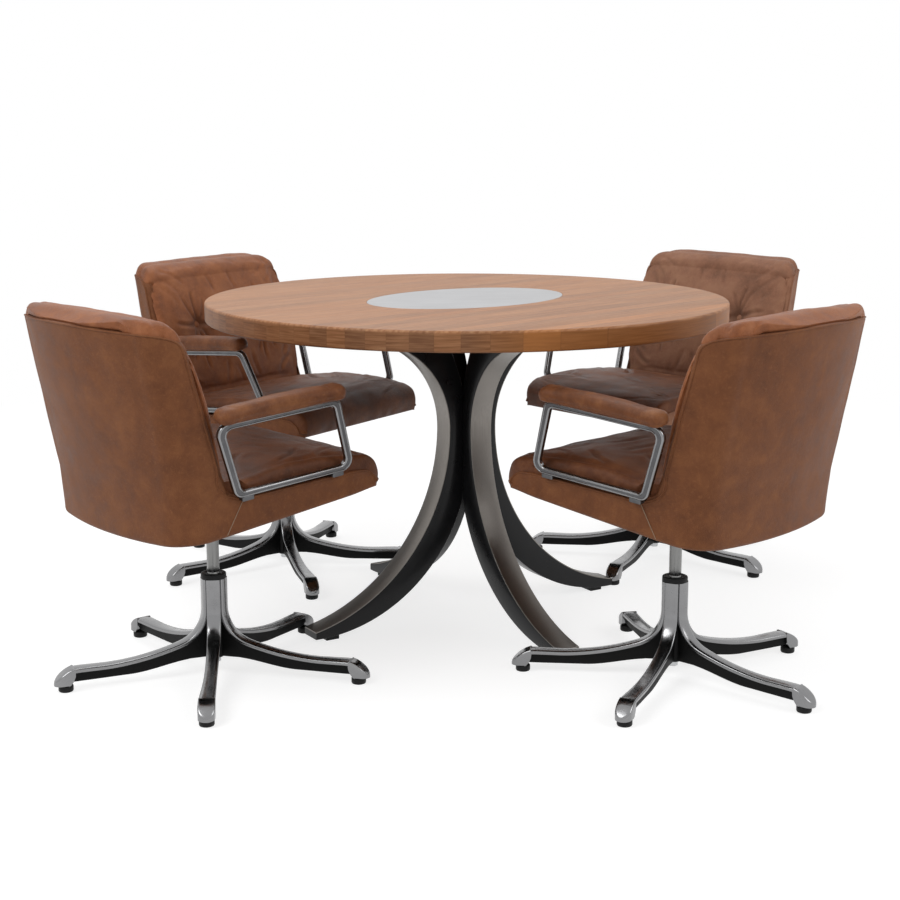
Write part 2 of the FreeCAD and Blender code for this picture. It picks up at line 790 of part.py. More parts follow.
def armPlace(thing):
    """Stands a piece drawn in the YZ plane on the line of the right arm, leaning out and pitched."""
    lean = FreeCAD.Rotation(Vector(0, 1, 0), number("arm_tilt"))
    pitch = FreeCAD.Rotation(Vector(1, 0, 0), number("arm_pitch"))
    thing.Placement = FreeCAD.Placement(Vector(0, 0, 0), lean * pitch)
    for axis in "xyz":
        thing.setExpression(f"Placement.Base.{axis}", bound(f"arm_{axis}"))


def bothSides(chair, name, right):
    """A node of two solids: the right-hand piece and its mirror image."""
    left = doc.addObject("Part::Mirroring", f"{chair}_{name}_left")
    left.Source = right
    left.Normal = Vector(1, 0, 0)
    doc.recompute()
    seatPlace(combine("Compound", f"{chair}_{name}", right, left), chair)


def loopChannels(body):
    """Shallow channel that runs round each flat face of a loop between its two rims."""
    for name, face, flip in (("outer", "arm_thick / 2", False), ("inner", "-arm_thick / 2", True)):
        track = newSketch(body, f"channel_{name}", "YZ_Plane", face)
        outline(track, [
            ("-loop_low_half - post_half + channel_rim", "-rail_half + channel_rim"),
            ("loop_low_half + post_half - channel_rim - 1", "-rail_half + channel_rim"),
            ("loop_high_front + post_half - channel_rim - 1", "loop_high + rail_half - channel_rim"),
            ("loop_high_rear - post_half + channel_rim + 2", "loop_high + rail_half - channel_rim"),
        ])
        outline(track, [
            ("-loop_low_half + post_half - 2 - channel_rim", "rail_half - channel_rim"),
            ("loop_low_half - post_half - 2 + channel_rim", "rail_half - channel_rim"),
            ("loop_high_front - post_half + 2 + channel_rim", "loop_high - rail_half + channel_rim"),
            ("loop_high_rear + post_half + 5 - channel_rim", "loop_high - rail_half + channel_rim"),
        ])
        cut = feature(body, "Pocket", f"channel_{name}_cut", track, "channel_deep", flip=flip)

        def ofDepth(middle, edge):
            return abs(edge.Length - number("channel_deep")) < 0.01
        soften(body, f"channel_{name}_corners", cut, "channel_corner", ofDepth)


def armFrames(chair):
    """Cast loops: four bars in a leaning trapezoid, thin across and rounded all along."""
    body = newBody(f"{chair}_arm_frames_right")
    outside = newSketch(body, "outside", "YZ_Plane")
    outline(outside, [
        ("-loop_low_half - post_half", "-rail_half"),
        ("loop_low_half + post_half", "-rail_half"),
        ("loop_high_front + post_half", "loop_high + rail_half"),
        ("loop_high_rear - post_half", "loop_high + rail_half"),
    ])
    inside = newSketch(body, "inside", "YZ_Plane")
    outline(inside, [
        ("-loop_low_half + post_half - 4", "rail_half"),
        ("loop_low_half - post_half - 2", "rail_half"),
        ("loop_high_front - post_half + 4", "loop_high - rail_half"),
        ("loop_high_rear + post_half + 4", "loop_high - rail_half"),
    ])
    plate = feature(body, "Pad", "plate", outside, "arm_thick", both=True)

    def across(middle, edge):
        return abs(edge.Length - number("arm_thick")) < 0.01
    rounded = soften(body, "corners", plate, "loop_corner", across)
    opened = feature(body, "Pocket", "window", inside, both=True, through=True)

    def newCorner(middle, edge):
        straight = edge.Curve.TypeId == "Part::GeomLine" and across(middle, edge)
        clear = min(abs(middle.z + number("rail_half")), abs(middle.z - number("loop_high + rail_half")))
        return straight and 0.5 * number("rail_half") < clear
    inner = soften(body, "window_corners", opened, "loop_inner_corner", newCorner)
    soften(body, "edges", inner, "loop_edge", lambda middle, edge: abs(middle.x) > number("arm_thick") / 2 - 0.01)
    loopChannels(body)
    armPlace(body)
    bothSides(chair, "arm_frames", body)


def armPads(chair):
    """Covered pads on the top rails, crowned along and across."""
    body = newBody(f"{chair}_arm_pads_right")
    side = newSketch(body, "side", "YZ_Plane")
    low = "loop_high + rail_half"
    outline(side, [
        ("-190", low),
        ("109", low),
        ("111", f"{low} + pad_thick / 2"),
        ("83", f"{low} + pad_thick - 5", "800"),
        ("-160", f"{low} + pad_thick - 3"),
        ("-192", f"{low} + pad_thick / 2 + 1"),
    ])
    pad = feature(body, "Pad", "pad", side, "pad_wide", both=True)
    blunt = soften(body, "ends", pad, "pad_end", lambda middle, edge: abs(middle.x) < 0.01)
    soften(body, "round", blunt, "pad_round", lambda middle, edge: abs(middle.x) > number("pad_wide") / 2 - 0.01)
    armPlace(body)
    bothSides(chair, "arm_pads", body)


def armLugs(chair):
    """Short lugs that tie each bottom rail to the shell's side, one near each end."""
    name = f"{chair}_arm_lugs"
    body = newBody(f"{name}_blocks")
    face = newSketch(body, "face", "YZ_Plane", "5 - lug_wide")
    for at in ("-lug_y - 12", "lug_y"):
        outline(face, [
            (f"{at} - lug_long / 2", "-rail_half - lug_deep"),
            (f"{at} + lug_long / 2", "-rail_half - lug_deep"),
            (f"{at} + lug_long / 2", "-rail_half"),
            (f"{at} - lug_long / 2", "-rail_half"),
        ])
    feature(body, "Pad", "blocks", face, "lug_wide")
    armPlace(body)
    bothSides(chair, "arm_lugs", combine("Cut", f"{name}_right", body, shellForm(f"{name}_seat", "0")))


# ---------------------------------------------------------------- build
tableTop()
tableInset()
for quarter, corner in enumerate(("back_right", "back_left", "front_left", "front_right")):
    tableLeg(f"table_leg_{corner}", quarter)
legFacings()
legCore()
legGlides()
topCross()
topScrews()
for chair in chairs:
    starBase(chair)
    hubBush(chair)
    footGlides(chair)
    spindle(chair)
    spindleNut(chair)
    seatPlate(chair)
    seatShell(chair)
    seatCushion(chair)
    backCushion(chair)
    armFrames(chair)
    armPads(chair)
    armLugs(chair)

doc.recompute()
for thing in doc.Objects:
    if "Invalid" in thing.State or "Error" in thing.State:
        raise SystemExit(f"{thing.Name} failed: {thing.State}")
for part in subParts:
    if part.Shape.isNull() or not part.Shape.isValid():
        raise SystemExit(f"{part.Label} has no valid shape")
for part in subParts:
    part.Shape.exportStep(f"parts/{part.Label}.step")
print(len(subParts), "sub-parts written")
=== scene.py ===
import math

import bpy
import mathutils
import numpy as np
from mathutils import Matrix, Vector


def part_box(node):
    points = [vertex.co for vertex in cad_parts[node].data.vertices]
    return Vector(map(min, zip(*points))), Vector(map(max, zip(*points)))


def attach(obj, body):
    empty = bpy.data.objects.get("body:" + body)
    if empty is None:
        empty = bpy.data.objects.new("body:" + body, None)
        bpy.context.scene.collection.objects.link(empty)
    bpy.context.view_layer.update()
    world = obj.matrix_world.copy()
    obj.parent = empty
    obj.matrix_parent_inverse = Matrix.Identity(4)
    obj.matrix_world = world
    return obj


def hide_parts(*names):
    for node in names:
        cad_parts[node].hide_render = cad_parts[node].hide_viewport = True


# Round oak dining table with a steel inset on four bow legs, and four leather swivel armchairs.
# Shapes are worked out in millimetres, as in the CAD source, and turned into metres when a mesh is made.
# A chair is drawn facing +Y with its swivel axis at x = y = 0, then turned and moved to its place.

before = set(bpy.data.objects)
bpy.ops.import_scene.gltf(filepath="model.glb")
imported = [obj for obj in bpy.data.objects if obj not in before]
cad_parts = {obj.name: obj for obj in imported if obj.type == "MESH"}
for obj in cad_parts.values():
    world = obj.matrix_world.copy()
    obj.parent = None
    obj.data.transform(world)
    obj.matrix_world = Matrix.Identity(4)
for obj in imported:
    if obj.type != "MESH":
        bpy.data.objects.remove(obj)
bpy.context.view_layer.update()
scene = bpy.context.scene

# which way each seat and star points, the seed of its folds, and whether its back takes the paler, greyer
# and rougher leather
chairs = {
    "front_left": {"facing": 42.1, "star": 58.7, "seed": 1.0, "dull": False},
    "front_right": {"facing": 136.3, "star": 101.5, "seed": 2.0, "dull": False},
    "back_left": {"facing": -33.2, "star": -0.4, "seed": 3.0, "dull": False},
    "back_right": {"facing": -140.0, "star": 28.3, "seed": 4.0, "dull": True},
}


# middle of a node's box in plan, in millimetres
def middleOf(node):
    low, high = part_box(node)
    return np.array([500 * (low[0] + high[0]), 500 * (low[1] + high[1]), 0])


tableAxis = middleOf("table_top")
for side, chair in chairs.items():
    chair["axis"] = middleOf(f"{side}_spindle")


# points turned about Z
def turned(points, degrees):
    c, s = math.cos(math.radians(degrees)), math.sin(math.radians(degrees))
    return points @ np.array([[c, s, 0], [-s, c, 0], [0, 0, 1]])


# vectors shrunk or stretched to a length of 1
def unit(vectors):
    return vectors / np.maximum(np.linalg.norm(vectors, axis=-1, keepdims=True), 1e-9)


# rises smoothly from 0 at start to 1 at end
def ease(x, start, end):
    t = np.clip((x - start) / (end - start), 0, 1)
    return t * t * (3 - 2 * t)


# a hump of height 1 at x = 0 that falls off within about two widths
def bell(x, width):
    return np.exp(-(x / width) ** 2)


# smooth wavy field between about -1 and 1: sines of two slanted directions, bent by a third
def noise(x, y, seed):
    a = np.sin(x * 1.7 + seed * 2.1 + 1.3 * np.sin(y * 1.1 + seed))
    b = np.sin(y * 2.3 - seed * 1.4 + 1.1 * np.sin(x * 0.9 + 2 * seed))
    return 0.5 * (a + b)


# points from start to just before end on an arc; a positive radius bulges to the right of the way
def arc(start, end, radius, count=10):
    start, end = np.array(start, float), np.array(end, float)
    chord = end - start
    half = np.linalg.norm(chord) / 2
    left = np.array([-chord[1], chord[0]]) / (2 * half)
    centre = (start + end) / 2 + left * math.copysign(math.sqrt(max(radius ** 2 - half ** 2, 0)), radius)
    a = math.atan2(*(start - centre)[::-1])
    turn = 2 * math.asin(min(half / abs(radius), 1)) * math.copysign(1, radius)
    angles = a + turn * np.arange(count) / count
    return centre + abs(radius) * np.stack([np.cos(angles), np.sin(angles)], 1)


# points along a line of corners (x, y) or (x, y, radius of the arc that leaves it)
def along(corners, count=12):
    parts = [arc(a[:2], b[:2], a[2], count) if len(a) == 3 else np.array([a[:2]], float)
             for a, b in zip(corners[:-1], corners[1:])]
    return np.concatenate(parts + [np.array([corners[-1][:2]], float)])


# the same line with that many points, evenly spaced along it
def evenly(points, count):
    points = np.asarray(points, float)
    length = np.concatenate([[0], np.cumsum(np.linalg.norm(np.diff(points, axis=0), axis=1))])
    at = np.linspace(0, length[-1], count)
    return np.stack([np.interp(at, length, points[:, k]) for k in range(points.shape[1])], 1)


# each point moved to the mean of itself and its neighbours, so many times; the two ends stay
def smoothed(points, times):
    for _ in range(times):
        around = (np.roll(points, 1, 0) + np.roll(points, -1, 0)) / 4 + points / 2
        around[0], around[-1] = points[0], points[-1]
        points = around
    return points


# a closed anticlockwise 2-D outline with each point moved inward along its normal
def inset(ring, by):
    along = unit(np.roll(ring, -1, 0) - np.roll(ring, 1, 0))
    return ring + np.stack([-along[:, 1], along[:, 0]], 1) * by


# closed solid from rings of points, shape (rings, points, 3); its ends close on their middles
def solid(rings, looped=False):
    rings = np.asarray(rings, float)
    n, m = rings.shape[:2]
    index = np.arange(n * m).reshape(n, m)
    if looped:
        index = np.concatenate([index, index[:1]])
    beside = np.roll(index, -1, axis=1)
    quads = np.stack([index[:-1], beside[:-1], beside[1:], index[1:]], -1).reshape(-1, 4)
    corners = rings.reshape(-1, 3)
    fans = np.zeros((0, 3), int)
    if not looped:
        corners = np.concatenate([corners, [rings[0].mean(0), rings[-1].mean(0)]])
        first = np.stack([np.full(m, n * m), beside[0], index[0]], 1)
        last = np.stack([np.full(m, n * m + 1), index[-1], beside[-1]], 1)
        fans = np.concatenate([first, last])
    a, b, c, d = (corners[quads[:, k]] for k in range(4))
    volume = np.einsum("ij,ij->", a, np.cross(b, c)) + np.einsum("ij,ij->", a, np.cross(c, d))
    volume += np.einsum("ij,ij->", corners[fans[:, 0]], np.cross(corners[fans[:, 1]], corners[fans[:, 2]]))
    if volume < 0:
        quads, fans = quads[:, ::-1], fans[:, ::-1]
    return corners, quads, fans


# solid of revolution: a line of (radius, height), from one end of the axis to the other, turned
def lathe(profile, count=64, at=(0, 0)):
    profile = np.asarray(profile, float)
    angles = np.arange(count) * 2 * np.pi / count
    radius, high = profile[:, :1], profile[:, 1:]
    rings = np.stack([at[0] + radius * np.cos(angles), at[1] + radius * np.sin(angles),
                      high + 0 * angles], -1)
    return solid(rings)


# ring with a hole: a closed (radius, height) outline turned about the axis
def ringLathe(profile, count):
    profile = np.asarray(profile, float)
    angles = np.arange(count) * 2 * np.pi / count
    rings = [np.column_stack([profile[:, 0] * math.cos(a), profile[:, 0] * math.sin(a), profile[:, 1]])
             for a in angles]
    return solid(np.stack(rings), looped=True)


# round bar along a path; its section stays square to the path and turns as little as it can
def tube(path, radius, count):
    way = unit(np.gradient(path, axis=0))
    side = unit(np.cross(way, [0.13, 0.21, 0.97]))
    up = np.cross(side, way)
    angles = np.arange(count) * 2 * np.pi / count
    rings = path[:, None] + radius * (side[:, None] * np.cos(angles)[None, :, None]
                                      + up[:, None] * np.sin(angles)[None, :, None])
    return solid(rings)


# (height, inset) pairs of a level slab's section, from the middle of its foot to its top's edge
def roundEnds(low, high, radius, steps=5):
    angles = np.linspace(0, np.pi / 2, steps)
    foot = [(low + radius * (1 - math.sin(a)), radius * (1 - math.cos(a))) for a in angles[::-1]]
    head = [(high - radius * (1 - math.sin(a)), radius * (1 - math.cos(a))) for a in angles]
    return foot + head


# level slab of an outline with its top and bottom edges rounded
def slab(ring, low, high, radius, steps=4):
    levels = roundEnds(low, high, radius, steps)
    return solid([np.column_stack([inset(ring, by), np.full(len(ring), z)]) for z, by in levels])


# the same solid with its corners changed by a function
def moved(shape, change):
    corners, quads, fans = shape
    return change(corners), quads, fans


# one object of several closed solids; finish is one material, or one for each solid
def makePiece(name, body, shapes, finish, stands=(), chair=None, crease=38, marks=None):
    finishes = finish if isinstance(finish, list) else [finish] * len(shapes)
    palette = list(dict.fromkeys(finishes))
    corners, loops, sizes, paints, start = [], [], [], [], 0
    for (points, quads, fans), paint in zip(shapes, finishes):
        corners.append(points)
        for faces in (quads, fans):
            loops.append((faces + start).reshape(-1))
            sizes.append(np.full(len(faces), faces.shape[1]))
            paints.append(np.full(len(faces), palette.index(paint)))
        start += len(points)
    corners, loops = np.concatenate(corners), np.concatenate(loops)
    sizes, paints = np.concatenate(sizes), np.concatenate(paints)
    mesh = bpy.data.meshes.new(name)
    mesh.vertices.add(len(corners))
    mesh.vertices.foreach_set("co", (setDown(corners, chair) / 1000).reshape(-1))
    mesh.loops.add(len(loops))
    mesh.loops.foreach_set("vertex_index", loops)
    mesh.polygons.add(len(sizes))
    mesh.polygons.foreach_set("loop_start", np.concatenate([[0], np.cumsum(sizes)[:-1]]))
    for paint in palette:
        mesh.materials.append(paint)
    mesh.polygons.foreach_set("material_index", paints)
    mesh.update(calc_edges=True)
    mesh.validate()
    mesh.shade_smooth()
    mesh.set_sharp_from_angle(angle=math.radians(crease))
    keepPlace(mesh, corners, chair)
    if marks is not None:
        keepMarks(mesh, np.ravel(marks), len(corners))
    addPiece(name, mesh, body, stands)


# piece of one chair: part is "seat" for what swivels and "star" for what stays on the floor
def chairPiece(side, part, name, shapes, finish, stands, crease=38, marks=None):
    body = f"{side}_seat" if part == "seat" else f"{side}_base"
    makePiece(f"{side}_{name}", body, shapes, finish, [f"{side}_{stands}"], (side, part), crease, marks)


# chair's own points in the room: turned the way that its seat or star points, and moved
def setDown(corners, chair):
    if chair is None:
        return corners
    side, part = chair
    turn = chairs[side]["facing"] - 90 if part == "seat" else chairs[side]["star"]
    return turned(corners, turn) + chairs[side]["axis"]


# attributes that the materials read: place on the piece in metres, and which chair it is on
def keepPlace(mesh, corners, chair):
    place = mesh.attributes.new("place", "FLOAT_VECTOR", "POINT")
    place.data.foreach_set("vector", (corners / 1000).astype(float).reshape(-1))
    seed = chairs[chair[0]]["seed"] if chair else 0.0
    number = mesh.attributes.new("seed", "FLOAT", "POINT")
    number.data.foreach_set("value", np.full(len(corners), seed))


# how deep a point lies in a crease, which the leather darkens as painted shade, and how far it stands out
# where it is rubbed
def keepMarks(mesh, depth, count):
    depth = np.concatenate([depth, np.zeros(count - len(depth))])
    for name, value in (("deep", np.clip(depth / 5, 0, 1)), ("worn", np.clip(-depth / 3, 0, 1))):
        layer = mesh.attributes.new(name, "FLOAT", "POINT")
        layer.data.foreach_set("value", value.astype(float))


def addPiece(name, mesh, body, stands):
    piece = bpy.data.objects.new(name, mesh)
    scene.collection.objects.link(piece)
    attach(piece, body)
    if stands:
        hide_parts(*stands)


def newMaterial(name):
    material = bpy.data.materials.new(name)
    material.use_nodes = True
    nodes = material.node_tree.nodes
    nodes.clear()
    output = nodes.new("ShaderNodeOutputMaterial")
    shader = nodes.new("ShaderNodeBsdfPrincipled")
    material.node_tree.links.new(shader.outputs[0], output.inputs["Surface"])
    return material, shader


# short ways to add and join the nodes of one material
class Nodes:
    def __init__(self, material):
        self.tree = material.node_tree

    def add(self, kind, **settings):
        node = self.tree.nodes.new("ShaderNode" + kind)
        for key, value in settings.items():
            if hasattr(node, key):
                setattr(node, key, value)
            else:
                node.inputs[key.replace("_", " ")].default_value = value
        return node

    def join(self, source, node, socket):
        self.tree.links.new(source, node.inputs[socket])
        return node

    # place on the piece, or in the room where the piece has none
    def position(self, name="place"):
        if name == "room":
            return self.add("TexCoord").outputs["Object"]
        return self.add("Attribute", attribute_name=name).outputs["Vector"]

    def mapped(self, source, scale=(1, 1, 1), turn=(0, 0, 0), shift=(0, 0, 0)):
        node = self.add("Mapping")
        node.inputs["Scale"].default_value = scale
        node.inputs["Rotation"].default_value = turn
        node.inputs["Location"].default_value = shift
        return self.join(source, node, "Vector").outputs[0]

    def noise(self, source, scale, detail=4, rough=0.55, bend=0.0):
        node = self.add("TexNoise", Scale=scale, Detail=detail, Roughness=rough, Distortion=bend)
        return self.join(source, node, "Vector").outputs["Fac"]

    def cells(self, source, scale, feature="F1"):
        node = self.add("TexVoronoi", feature=feature, Scale=scale)
        return self.join(source, node, "Vector").outputs["Distance"]

    # colours along a value: stops are (position, (r, g, b)) or (position, grey)
    def ramp(self, source, stops):
        node = self.add("ValToRGB")
        line = node.color_ramp.elements
        while len(line) < len(stops):
            line.new(0.5)
        for element, (at, colour) in zip(line, stops):
            element.position = at
            colour = (colour,) * 3 if isinstance(colour, (int, float)) else colour
            element.color = (*colour, 1)
        return self.join(source, node, "Fac").outputs["Color"]

    # a value mapped from one range to another
    def spread(self, source, low, high, start=0.0, end=1.0):
        node = self.add("MapRange")
        for name, value in (("From Min", low), ("From Max", high), ("To Min", start), ("To Max", end)):
            node.inputs[name].default_value = value
        return self.join(source, node, "Value").outputs["Result"]

    def math(self, kind, a, b=0.5):
        node = self.add("Math", operation=kind)
        for k, value in enumerate((a, b)):
            if isinstance(value, (int, float)):
                node.inputs[k].default_value = value
            else:
                self.tree.links.new(value, node.inputs[k])
        return node.outputs[0]

    # values added up, each times its weight
    def total(self, *parts):
        out = None
        for value, weight in parts:
            part = self.math("MULTIPLY", value, weight)
            out = part if out is None else self.math("ADD", out, part)
        return out

    def blend(self, factor, a, b, kind="MIX"):
        node = self.add("Mix", data_type="RGBA", blend_type=kind)
        for socket, value in ((0, factor), (6, a), (7, b)):
            if isinstance(value, tuple):
                node.inputs[socket].default_value = (*value, 1)
            elif isinstance(value, (int, float)):
                node.inputs[socket].default_value = value
            else:
                self.tree.links.new(value, node.inputs[socket])
        return node.outputs[2]

    def bump(self, height, distance, strength=1.0, under=None):
        node = self.add("Bump", Strength=strength, Distance=distance)
        self.join(height, node, "Height")
        if under is not None:
            self.join(under, node, "Normal")
        return node.outputs[0]


# a colour read on a screen, as the shader takes it
def colour(r, g, b):
    return tuple(((v / 255 + 0.055) / 1.055) ** 2.4 for v in (r, g, b))


# tones of each leather from dark to light, its roughness, and how strongly its scuffs show
leatherLook = {
    "shell": {"tones": ((98, 57, 32), (115, 69, 40), (131, 83, 50)), "rough": 0.54, "scuff": 0.55},
    "seat": {"tones": ((78, 43, 24), (101, 58, 34), (126, 79, 50)), "rough": 0.41, "scuff": 0.35},
    "back": {"tones": ((114, 65, 38), (140, 84, 51), (164, 105, 68)), "rough": 0.46, "scuff": 0.4},
    "arm": {"tones": ((88, 49, 26), (113, 66, 37), (140, 90, 54)), "rough": 0.39, "scuff": 0.4},
    # paler, greyer and rougher leather, used on one chair's back
    "dull": {"tones": ((116, 77, 56), (140, 96, 73), (158, 114, 88)), "rough": 0.60, "scuff": 0.5},
}


# aniline hide: cloudy patina, pores and creases as fine cells, rubbed paler high places, and painted shade
# that darkens the depths of folds, pleats and button pits
def leather(part):
    look = leatherLook[part]
    material, shader = newMaterial(f"leather_{part}")
    n = Nodes(material)
    shift = n.add("VectorMath", operation="ADD")
    n.join(n.position("place"), shift, 0)
    seed = n.add("Attribute", attribute_name="seed").outputs["Fac"]
    n.join(n.math("MULTIPLY", seed, 3.7), shift, 1)
    place = shift.outputs[0]
    clouds = n.noise(place, 7, 5, 0.6, 0.4)
    blotches = n.noise(place, 26, 4, 0.65, 0.2)
    pores = n.cells(place, 900)
    creases = n.cells(n.mapped(place, (1, 1.25, 0.9)), 330, "DISTANCE_TO_EDGE")
    specks = n.noise(place, 420, 3, 0.6)
    tone = n.total((clouds, 0.45), (blotches, 0.55))
    dark, mid, light = (colour(*shade) for shade in look["tones"])
    base = n.ramp(tone, [(0.34, dark), (0.5, mid), (0.66, light)])
    fine = n.spread(specks, 0.3, 0.7, 0.9, 1.08)
    base = n.blend(1.0, base, n.ramp(fine, [(0, 0), (1, 1.0)]), "MULTIPLY")
    scuffs = n.noise(place, 150, 5, 0.72, 0.6)
    base = n.blend(n.spread(scuffs, 0.54, 0.70, 0.0, look["scuff"]), base, tuple(1.12 * v for v in light))
    worn = n.add("Attribute", attribute_name="worn").outputs["Fac"]
    base = n.blend(n.math("MULTIPLY", worn, 0.55), base, light)
    # painted shade: the leather is darkened where it lies deep in folds, pleats and button pits
    deep = n.add("Attribute", attribute_name="deep").outputs["Fac"]
    base = n.blend(n.math("MULTIPLY", deep, 0.6), base, tuple(0.45 * v for v in dark))
    n.join(base, shader, "Base Color")
    rough = n.spread(blotches, 0.3, 0.7, look["rough"] - 0.06, look["rough"] + 0.1)
    n.join(rough, shader, "Roughness")
    shader.inputs["Specular IOR Level"].default_value = 0.20
    shader.inputs["Sheen Weight"].default_value = 0.03
    shader.inputs["Sheen Roughness"].default_value = 0.5
    grain = n.bump(n.spread(creases, 0.0, 0.14), 0.00035, 0.5)
    grain = n.bump(pores, 0.0002, 0.35, grain)
    n.join(n.bump(blotches, 0.0012, 0.35, grain), shader, "Normal")
    return material


oakLook = {
    "grainAngle": 45, "stave": 0.040,
    "dark": (132, 88, 60), "mid": (166, 118, 84), "light": (188, 142, 106), "gold": (200, 128, 66),
    "rough": 0.46, "gloss": 0.22,
    "rimLevel": (0.7485, 0.7520),  # heights in metres between which the rim's look, darkened as painted shade, gives way to the top's
    "goldTo": (-0.50, -0.42),  # places across the grain between which the golden staves end
}


# solid oak in glued staves: each has its own tone, with long rays, pores and arched growth rings; the rim
# and underside are darker as painted shade
def oak():
    material, shader = newMaterial("oak_oiled")
    n = Nodes(material)
    turn = (0, 0, -math.radians(oakLook["grainAngle"]))
    middle = tuple(-v / 1000 for v in turned(tableAxis, -oakLook["grainAngle"]))
    along = n.mapped(n.position("room"), turn=turn, shift=middle)
    split = n.add("SeparateXYZ")
    n.join(along, split, 0)
    staves = n.math("DIVIDE", n.math("ADD", split.outputs["Y"], 3.012), oakLook["stave"])
    row, inRow = n.math("FLOOR", staves), n.math("FRACT", staves)
    tone = n.add("TexWhiteNoise", noise_dimensions="1D")
    n.join(row, tone, "W")
    own = n.add("CombineXYZ")
    n.join(n.math("MULTIPLY", tone.outputs["Value"], 7.0), own, "X")
    n.join(n.math("MULTIPLY", row, 0.37), own, "Z")
    place = n.add("VectorMath", operation="ADD")
    n.join(along, place, 0)
    n.join(own.outputs[0], place, 1)
    place = place.outputs[0]
    rings = n.add("TexWave", wave_type="BANDS", bands_direction="Y", Scale=24, Distortion=9, Detail=3)
    rings.inputs["Detail Scale"].default_value = 0.8
    rings.inputs["Detail Roughness"].default_value = 0.62
    n.join(n.mapped(place, (0.22, 1, 1)), rings, "Vector")
    flat = n.spread(split.outputs["Z"], *oakLook["rimLevel"])
    faces = n.noise(n.mapped(place, (1.6, 84, 84)), 4.0, 5, 0.66)
    sides = n.noise(n.mapped(place, (3, 3, 70)), 4.0, 5, 0.6)
    streaks = n.total((faces, flat), (sides, n.math("SUBTRACT", 1.0, flat)))
    pores = n.noise(n.mapped(place, (7, 420, 420)), 3.0, 3, 0.6)
    clouds = n.noise(n.mapped(place, (0.8, 3, 3)), 4.0, 3, 0.5)
    mixed = n.total((rings.outputs["Fac"], n.math("MULTIPLY", flat, 0.12)), (streaks, 0.66), (clouds, 0.22))
    dark, mid, light, gold = (colour(*oakLook[key]) for key in ("dark", "mid", "light", "gold"))
    base = n.ramp(mixed, [(0.35, dark), (0.48, mid), (0.63, light)])
    warm = n.ramp(mixed, [(0.28, tuple(0.7 * v for v in gold)), (0.60, gold), (0.8, light)])
    golden = n.spread(split.outputs["Y"], *oakLook["goldTo"], 0.75, 0.10)
    trend = n.math("MULTIPLY", golden, n.spread(flat, 0, 1, 1.0, 0.3))
    base = n.blend(n.math("ADD", trend, n.math("MULTIPLY", tone.outputs["Value"], 0.2)), base, warm)
    # painted shade: the rim and underside are darkened to 0.7 of the top's colour
    rim = n.spread(split.outputs["Z"], *oakLook["rimLevel"], 0.70, 1.0)
    base = n.blend(1.0, base, n.ramp(rim, [(0, 0), (1, 1.0)]), "MULTIPLY")
    shade = n.ramp(tone.outputs["Value"], [(0, 0.84), (0.5, 0.97), (1, 1.0)])
    base = n.blend(1.0, base, shade, "MULTIPLY")
    dots = n.math("MULTIPLY", n.spread(pores, 0.60, 0.72), n.spread(flat, 0, 1, 0.25))
    base = n.blend(n.math("MULTIPLY", dots, 0.7), base, tuple(0.35 * v for v in dark))
    glue = n.spread(n.math("ABSOLUTE", n.math("SUBTRACT", inRow, 0.5)), 0.488, 0.5)
    base = n.blend(n.math("MULTIPLY", glue, 0.45), base, tuple(0.4 * v for v in dark))
    n.join(base, shader, "Base Color")
    rough = oakLook["rough"]
    n.join(n.spread(streaks, 0.3, 0.7, rough - 0.05, rough + 0.08), shader, "Roughness")
    shader.inputs["Specular IOR Level"].default_value = oakLook["gloss"]
    relief = n.bump(n.math("SUBTRACT", 1.0, dots), 0.0003, 0.5)
    n.join(n.bump(streaks, 0.0006, 0.25, relief), shader, "Normal")
    return material


# bare metal; streak is the stretch of the brushing along x, y and z, wave a slight cast unevenness
def metal(name, tint, rough, streak=None, scratch=0.0, wave=0.0, where="place"):
    material, shader = newMaterial(name)
    n = Nodes(material)
    place = n.position(where)
    patches = n.noise(place, 9, 3, 0.5)
    base = n.ramp(patches, [(0.3, tuple(0.90 * v for v in tint)), (0.7, tint)])
    normal = None
    if streak:
        lines = n.noise(n.mapped(place, streak), 6, 4, 0.7)
        base = n.blend(n.spread(lines, 0.3, 0.7, 0.0, 0.35), base, tuple(0.62 * v for v in tint))
        n.join(n.spread(lines, 0.3, 0.7, rough - 0.07, rough + 0.10), shader, "Roughness")
        normal = n.bump(lines, 0.00015, 0.35)
    else:
        smudge = n.noise(place, 60, 4, 0.6)
        n.join(n.spread(smudge, 0.3, 0.75, rough * 0.7, rough * 1.5), shader, "Roughness")
    n.join(base, shader, "Base Color")
    if scratch:
        normal = n.bump(n.noise(n.mapped(place, (1, 1, 14)), 130, 2, 0.5), 0.0001, scratch, normal)
    if wave:
        normal = n.bump(n.noise(place, 34, 2, 0.4), 0.0012, wave, normal)
    if normal is not None:
        n.join(normal, shader, "Normal")
    shader.inputs["Metallic"].default_value = 1.0
    return material


# paint, lacquer, rubber or plastic with slightly uneven gloss and dust in its grain
def coated(name, tint, rough, gloss, coat=0.0, texture=0.0):
    material, shader = newMaterial(name)
    n = Nodes(material)
    place = n.position()
    patches = n.noise(place, 22, 4, 0.6)
    n.join(n.ramp(patches, [(0.3, tuple(0.75 * v for v in tint)), (0.7, tuple(1.2 * v for v in tint))]),
           shader, "Base Color")
    n.join(n.spread(patches, 0.3, 0.7, rough * 0.85, rough * 1.2), shader, "Roughness")
    shader.inputs["Specular IOR Level"].default_value = gloss
    shader.inputs["Coat Weight"].default_value = coat
    shader.inputs["Coat Roughness"].default_value = 0.12
    if texture:
        n.join(n.bump(n.noise(place, 700, 3, 0.6), 0.0002, texture), shader, "Normal")
    return material


